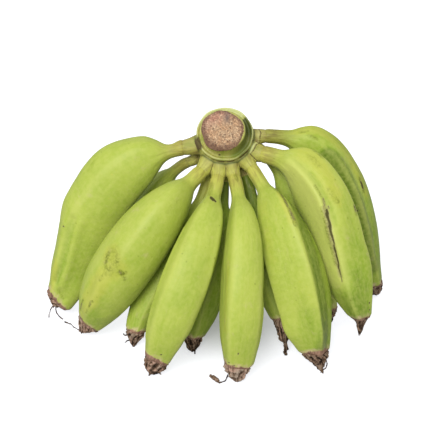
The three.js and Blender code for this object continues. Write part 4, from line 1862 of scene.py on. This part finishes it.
@dataclass(frozen=True)
class Thread:
    """A dry shred or thread of a flower, as part of that flower's remains."""

    name: str
    node: str
    path: tuple[Point, ...]
    radii: tuple[float, ...] = (0.5, 0.35)
    tone: float = 0.2
    wobble: float = 0.35
    wobble_size: float = 2.6
    swelling: float = 0.35  # how uneven its thickness is, and how coarsely
    swelling_size: float = 1.6
    grain: float = 0.3
    grain_size: float = 1.1
    steps: int = 44
    sides: int = 12
    lie_length: float = 30.0  # how long it is in its finish's pattern

    def make(self, dress: Dress) -> bpy.types.Object:
        """Builds the thread.

        Args:
            dress: what it wears.

        Returns:
            The piece.
        """
        path = smooth_path(self.path, self.steps)
        wander = [lumps(path, self.wobble_size, nth) for nth in (1, 2, 3)]
        path = path + self.wobble * np.stack(wander, axis=-1)
        share = np.linspace(0, 1, self.steps)
        radii = np.interp(share, np.linspace(0, 1, len(self.radii)), self.radii)
        radii = radii * (1 + self.swelling * lumps(path, self.swelling_size, 7))
        rings = tube_rings(path, radii, self.sides)
        centre = rings.mean(axis=1, keepdims=True)
        rough = 1 + self.grain * lumps(rings, self.grain_size, 9)
        rings = centre + (rings - centre) * rough[..., None]
        rings[..., 2] = np.maximum(rings[..., 2], 0.02)
        skin = Skin()
        skin.add_rings(rings)
        points = skin.all_points()
        run = with_ends(np.broadcast_to((share * self.lie_length)[:, None], rings.shape[:2]))
        values = {
            "fold": np.clip(self.tone + 0.25 * lumps(points, 1.4, 4), 0, 1),
            "peel": points * MM,
            "lie": np.stack([run, points[:, 0], points[:, 1]], axis=-1) * MM,
        }
        return dress.make_piece("shred_" + self.name, self.node, points, skin.faces, values)


THREADS = (
    Thread("front_1_knot", "flower_end_front_1", (
        (-153.5, 15, 14), (-155.6, 14, 12.2), (-157.4, 13.6, 11.0),
    ), (0.9, 1.2, 0.7)),
    Thread("front_1_left", "flower_end_front_1", (
        (-156.2, 14, 11.6), (-159.3, 13.4, 9.2), (-161, 12.6, 5.2), (-162.4, 11, 1.6), (-162, 8.4, 0.5),
    ), (0.6, 0.5, 0.35, 0.6)),
    Thread("front_1_up", "flower_end_front_1", (
        (-156.2, 14, 11.8), (-158.2, 14, 14.6), (-158.6, 14.2, 17.4),
    ), (0.5, 0.4)),
    Thread("front_1_right", "flower_end_front_1", (
        (-154.8, 13, 11.7), (-155.4, 11.6, 5.8), (-153.6, 9.6, 2.6), (-150.6, 7, 0.9), (-148.4, 5.4, 0.5),
    ), (0.6, 0.45, 0.6)),
    Thread("front_2_first", "flower_end_front_2", (
        (-146.2, 0.2, 0.6), (-144.4, -1, 0.9), (-142.5, -2, 0.6),
    ), (0.5, 0.8, 0.4), wobble=0.6),
    Thread("front_2_second", "flower_end_front_2", (
        (-142.5, -2, 0.6), (-140.6, -3, 1.0), (-138.4, -5.6, 0.7), (-136.4, -7.8, 0.6), (-133.2, -11.1, 0.7),
        (-129.5, -15.1, 0.8), (-126, -18.4, 2),
    ), (0.35, 0.7, 0.3, 0.5, 0.3, 0.75, 0.9), wobble=0.6),
    Thread("back_2_upper", "flower_end_back_2", (
        (-80.5, -37, 13), (-83.6, -38.4, 13.6), (-85.6, -38.6, 13.0), (-86.8, -38.8, 15.2),
    ), (0.9, 0.6, 0.45)),
    Thread("back_2_lower", "flower_end_back_2", (
        (-80.5, -38, 7.5), (-83.6, -39, 7.0), (-85.8, -39.6, 5.6),
    ), (0.9, 0.6, 0.4)),
    Thread("back_3_prong", "flower_end_back_3", (
        (-22, -47, 8), (-20.8, -48.8, 4.8), (-20.4, -50.4, 0.5),
    ), (1.4, 1.0, 0.5)),
    Thread("front_3_prong", "flower_end_front_3", (
        (-55, -76, 4), (-53, -79, 2), (-50.6, -81.6, 0.8),
    ), (1.8, 1.2, 0.4), 0.35),
    Thread("front_3_side", "flower_end_front_3", (
        (-60, -82, 17), (-62, -83.6, 16.4), (-63.2, -84.4, 14.6),
    ), (0.8, 0.6)),
    Thread("flake", "flower_end_front_4", (
        (-6.4, -84.6, 1.9), (-4.4, -86.4, 1.9), (-1.6, -89.4, 1.8), (0.4, -92, 1.6), (1.8, -93.6, 1.0),
    ), (1.2, 1.9, 1.8, 1.7, 0.7), 0.52),
    Thread("flake_thread", "flower_end_front_4", (
        (1.6, -93.4, 0.9), (4.6, -92.4, 0.8), (7.4, -90.2, 1.0), (8.6, -86.6, 1.6), (9.6, -84.4, 2.6),
    ), (0.8, 0.5, 0.6)),
    Thread("back_4_stem", "flower_end_back_4", (
        (62.6, -45.6, 7), (62.6, -47.6, 3.4), (62.4, -50, 1.5), (63.8, -52.6, 1.3),
    ), (1.5, 1.0, 1.6, 1.1)),
    Thread("back_5_curl", "flower_end_back_5", (
        (108.8, 0.4, 9.8), (110.4, 0, 5.6), (110.4, 0.2, 2.4), (108.6, -1, 0.6),
    ), (0.9, 0.6, 0.5)),
    Thread("front_5_loop", "flower_end_front_5", (
        (94.4, -68, 13.4), (97.6, -70, 10.6), (99.4, -71.6, 5.4), (98, -73, 1.4), (94.4, -75.4, 0.7),
        (93.4, -78.6, 0.7),
    ), (0.7, 0.5, 0.6, 0.45)),
    Thread("front_5_tip", "flower_end_front_5", (
        (89.6, -65, 9), (91.6, -69, 5), (93.6, -74.5, 2), (95.4, -79.6, 0.5),
    ), (6.2, 4.4, 2.3, 0.5), 0.42),
)


# ---- The studio ----


@dataclass
class Studio:
    """The floor, the soft lights and the camera. The eye and the floor's size are in metres."""

    eye: Point = (-0.002, -0.94024, 0.6621)
    tilt: float = 60.0
    lens: float = 100.0
    sensor: float = 36.0
    floor_size: float = 8.0
    key_way: Point = (-0.24, -0.66, 0.71)
    key_strength: float = 2.26
    key_spread: float = 34.0
    sky: float = 0.6

    def make_floor(self, finish: bpy.types.Material) -> None:
        """Lays the floor.

        Args:
            finish: the floor's material.
        """
        half = self.floor_size / 2
        corners = np.array([[-half, -half, 0], [half, -half, 0], [half, half, 0], [-half, half, 0]]) / MM
        floor = make_object("floor", corners, [[0, 1, 2, 3]], {})
        floor.data.materials.append(finish)

    def make_key(self) -> None:
        """Hangs the broad soft light, up in front on the left."""
        lamp = bpy.data.lights.new("key", "SUN")
        lamp.energy, lamp.angle = self.key_strength, math.radians(self.key_spread)
        obj = bpy.data.objects.new("key", lamp)
        obj.rotation_euler = Vector(self.key_way).to_track_quat("Z", "Y").to_euler()
        bpy.context.scene.collection.objects.link(obj)

    def make_sky(self) -> None:
        """Lights the room evenly."""
        world = bpy.data.worlds.new("studio")
        world.use_nodes = True
        tree = Tree(world.node_tree)
        sky = tree.add("ShaderNodeBackground", {"Color": (1.0, 1.0, 1.0, 1.0), "Strength": self.sky})
        tree.add("ShaderNodeOutputWorld", {"Surface": sky.outputs[0]})
        bpy.context.scene.world = world

    def make_camera(self) -> None:
        """Sets up the camera."""
        data = bpy.data.cameras.new("camera")
        data.lens, data.sensor_width = self.lens, self.sensor
        camera = bpy.data.objects.new("camera", data)
        camera.location = self.eye
        camera.rotation_euler = (math.radians(self.tilt), 0, 0)
        bpy.context.scene.collection.objects.link(camera)
        bpy.context.scene.camera = camera

    def make(self, finish: bpy.types.Material) -> None:
        """Builds the whole studio.

        Args:
            finish: the floor's material.
        """
        self.make_camera()
        self.make_floor(finish)
        self.make_key()
        self.make_sky()
        bpy.context.scene.view_settings.view_transform = "Standard"


def main() -> None:
    """Builds the hand and its studio."""
    logging.basicConfig(level=logging.INFO, format="%(name)s: %(message)s")
    finishes = Finishes()
    Studio().make(finishes.floor)
    stalk = Stalk()
    stalk.make_skin(FRUITS, finishes.stalk)
    stalk.make_cut(finishes.cut)
    for fruit in FRUITS:
        fruit.make_body(finishes.peel)
        fruit.make_flower_end(finishes.dried)
    for thread in THREADS:
        thread.make(finishes.dried)


if __name__ == "__main__":
    main()
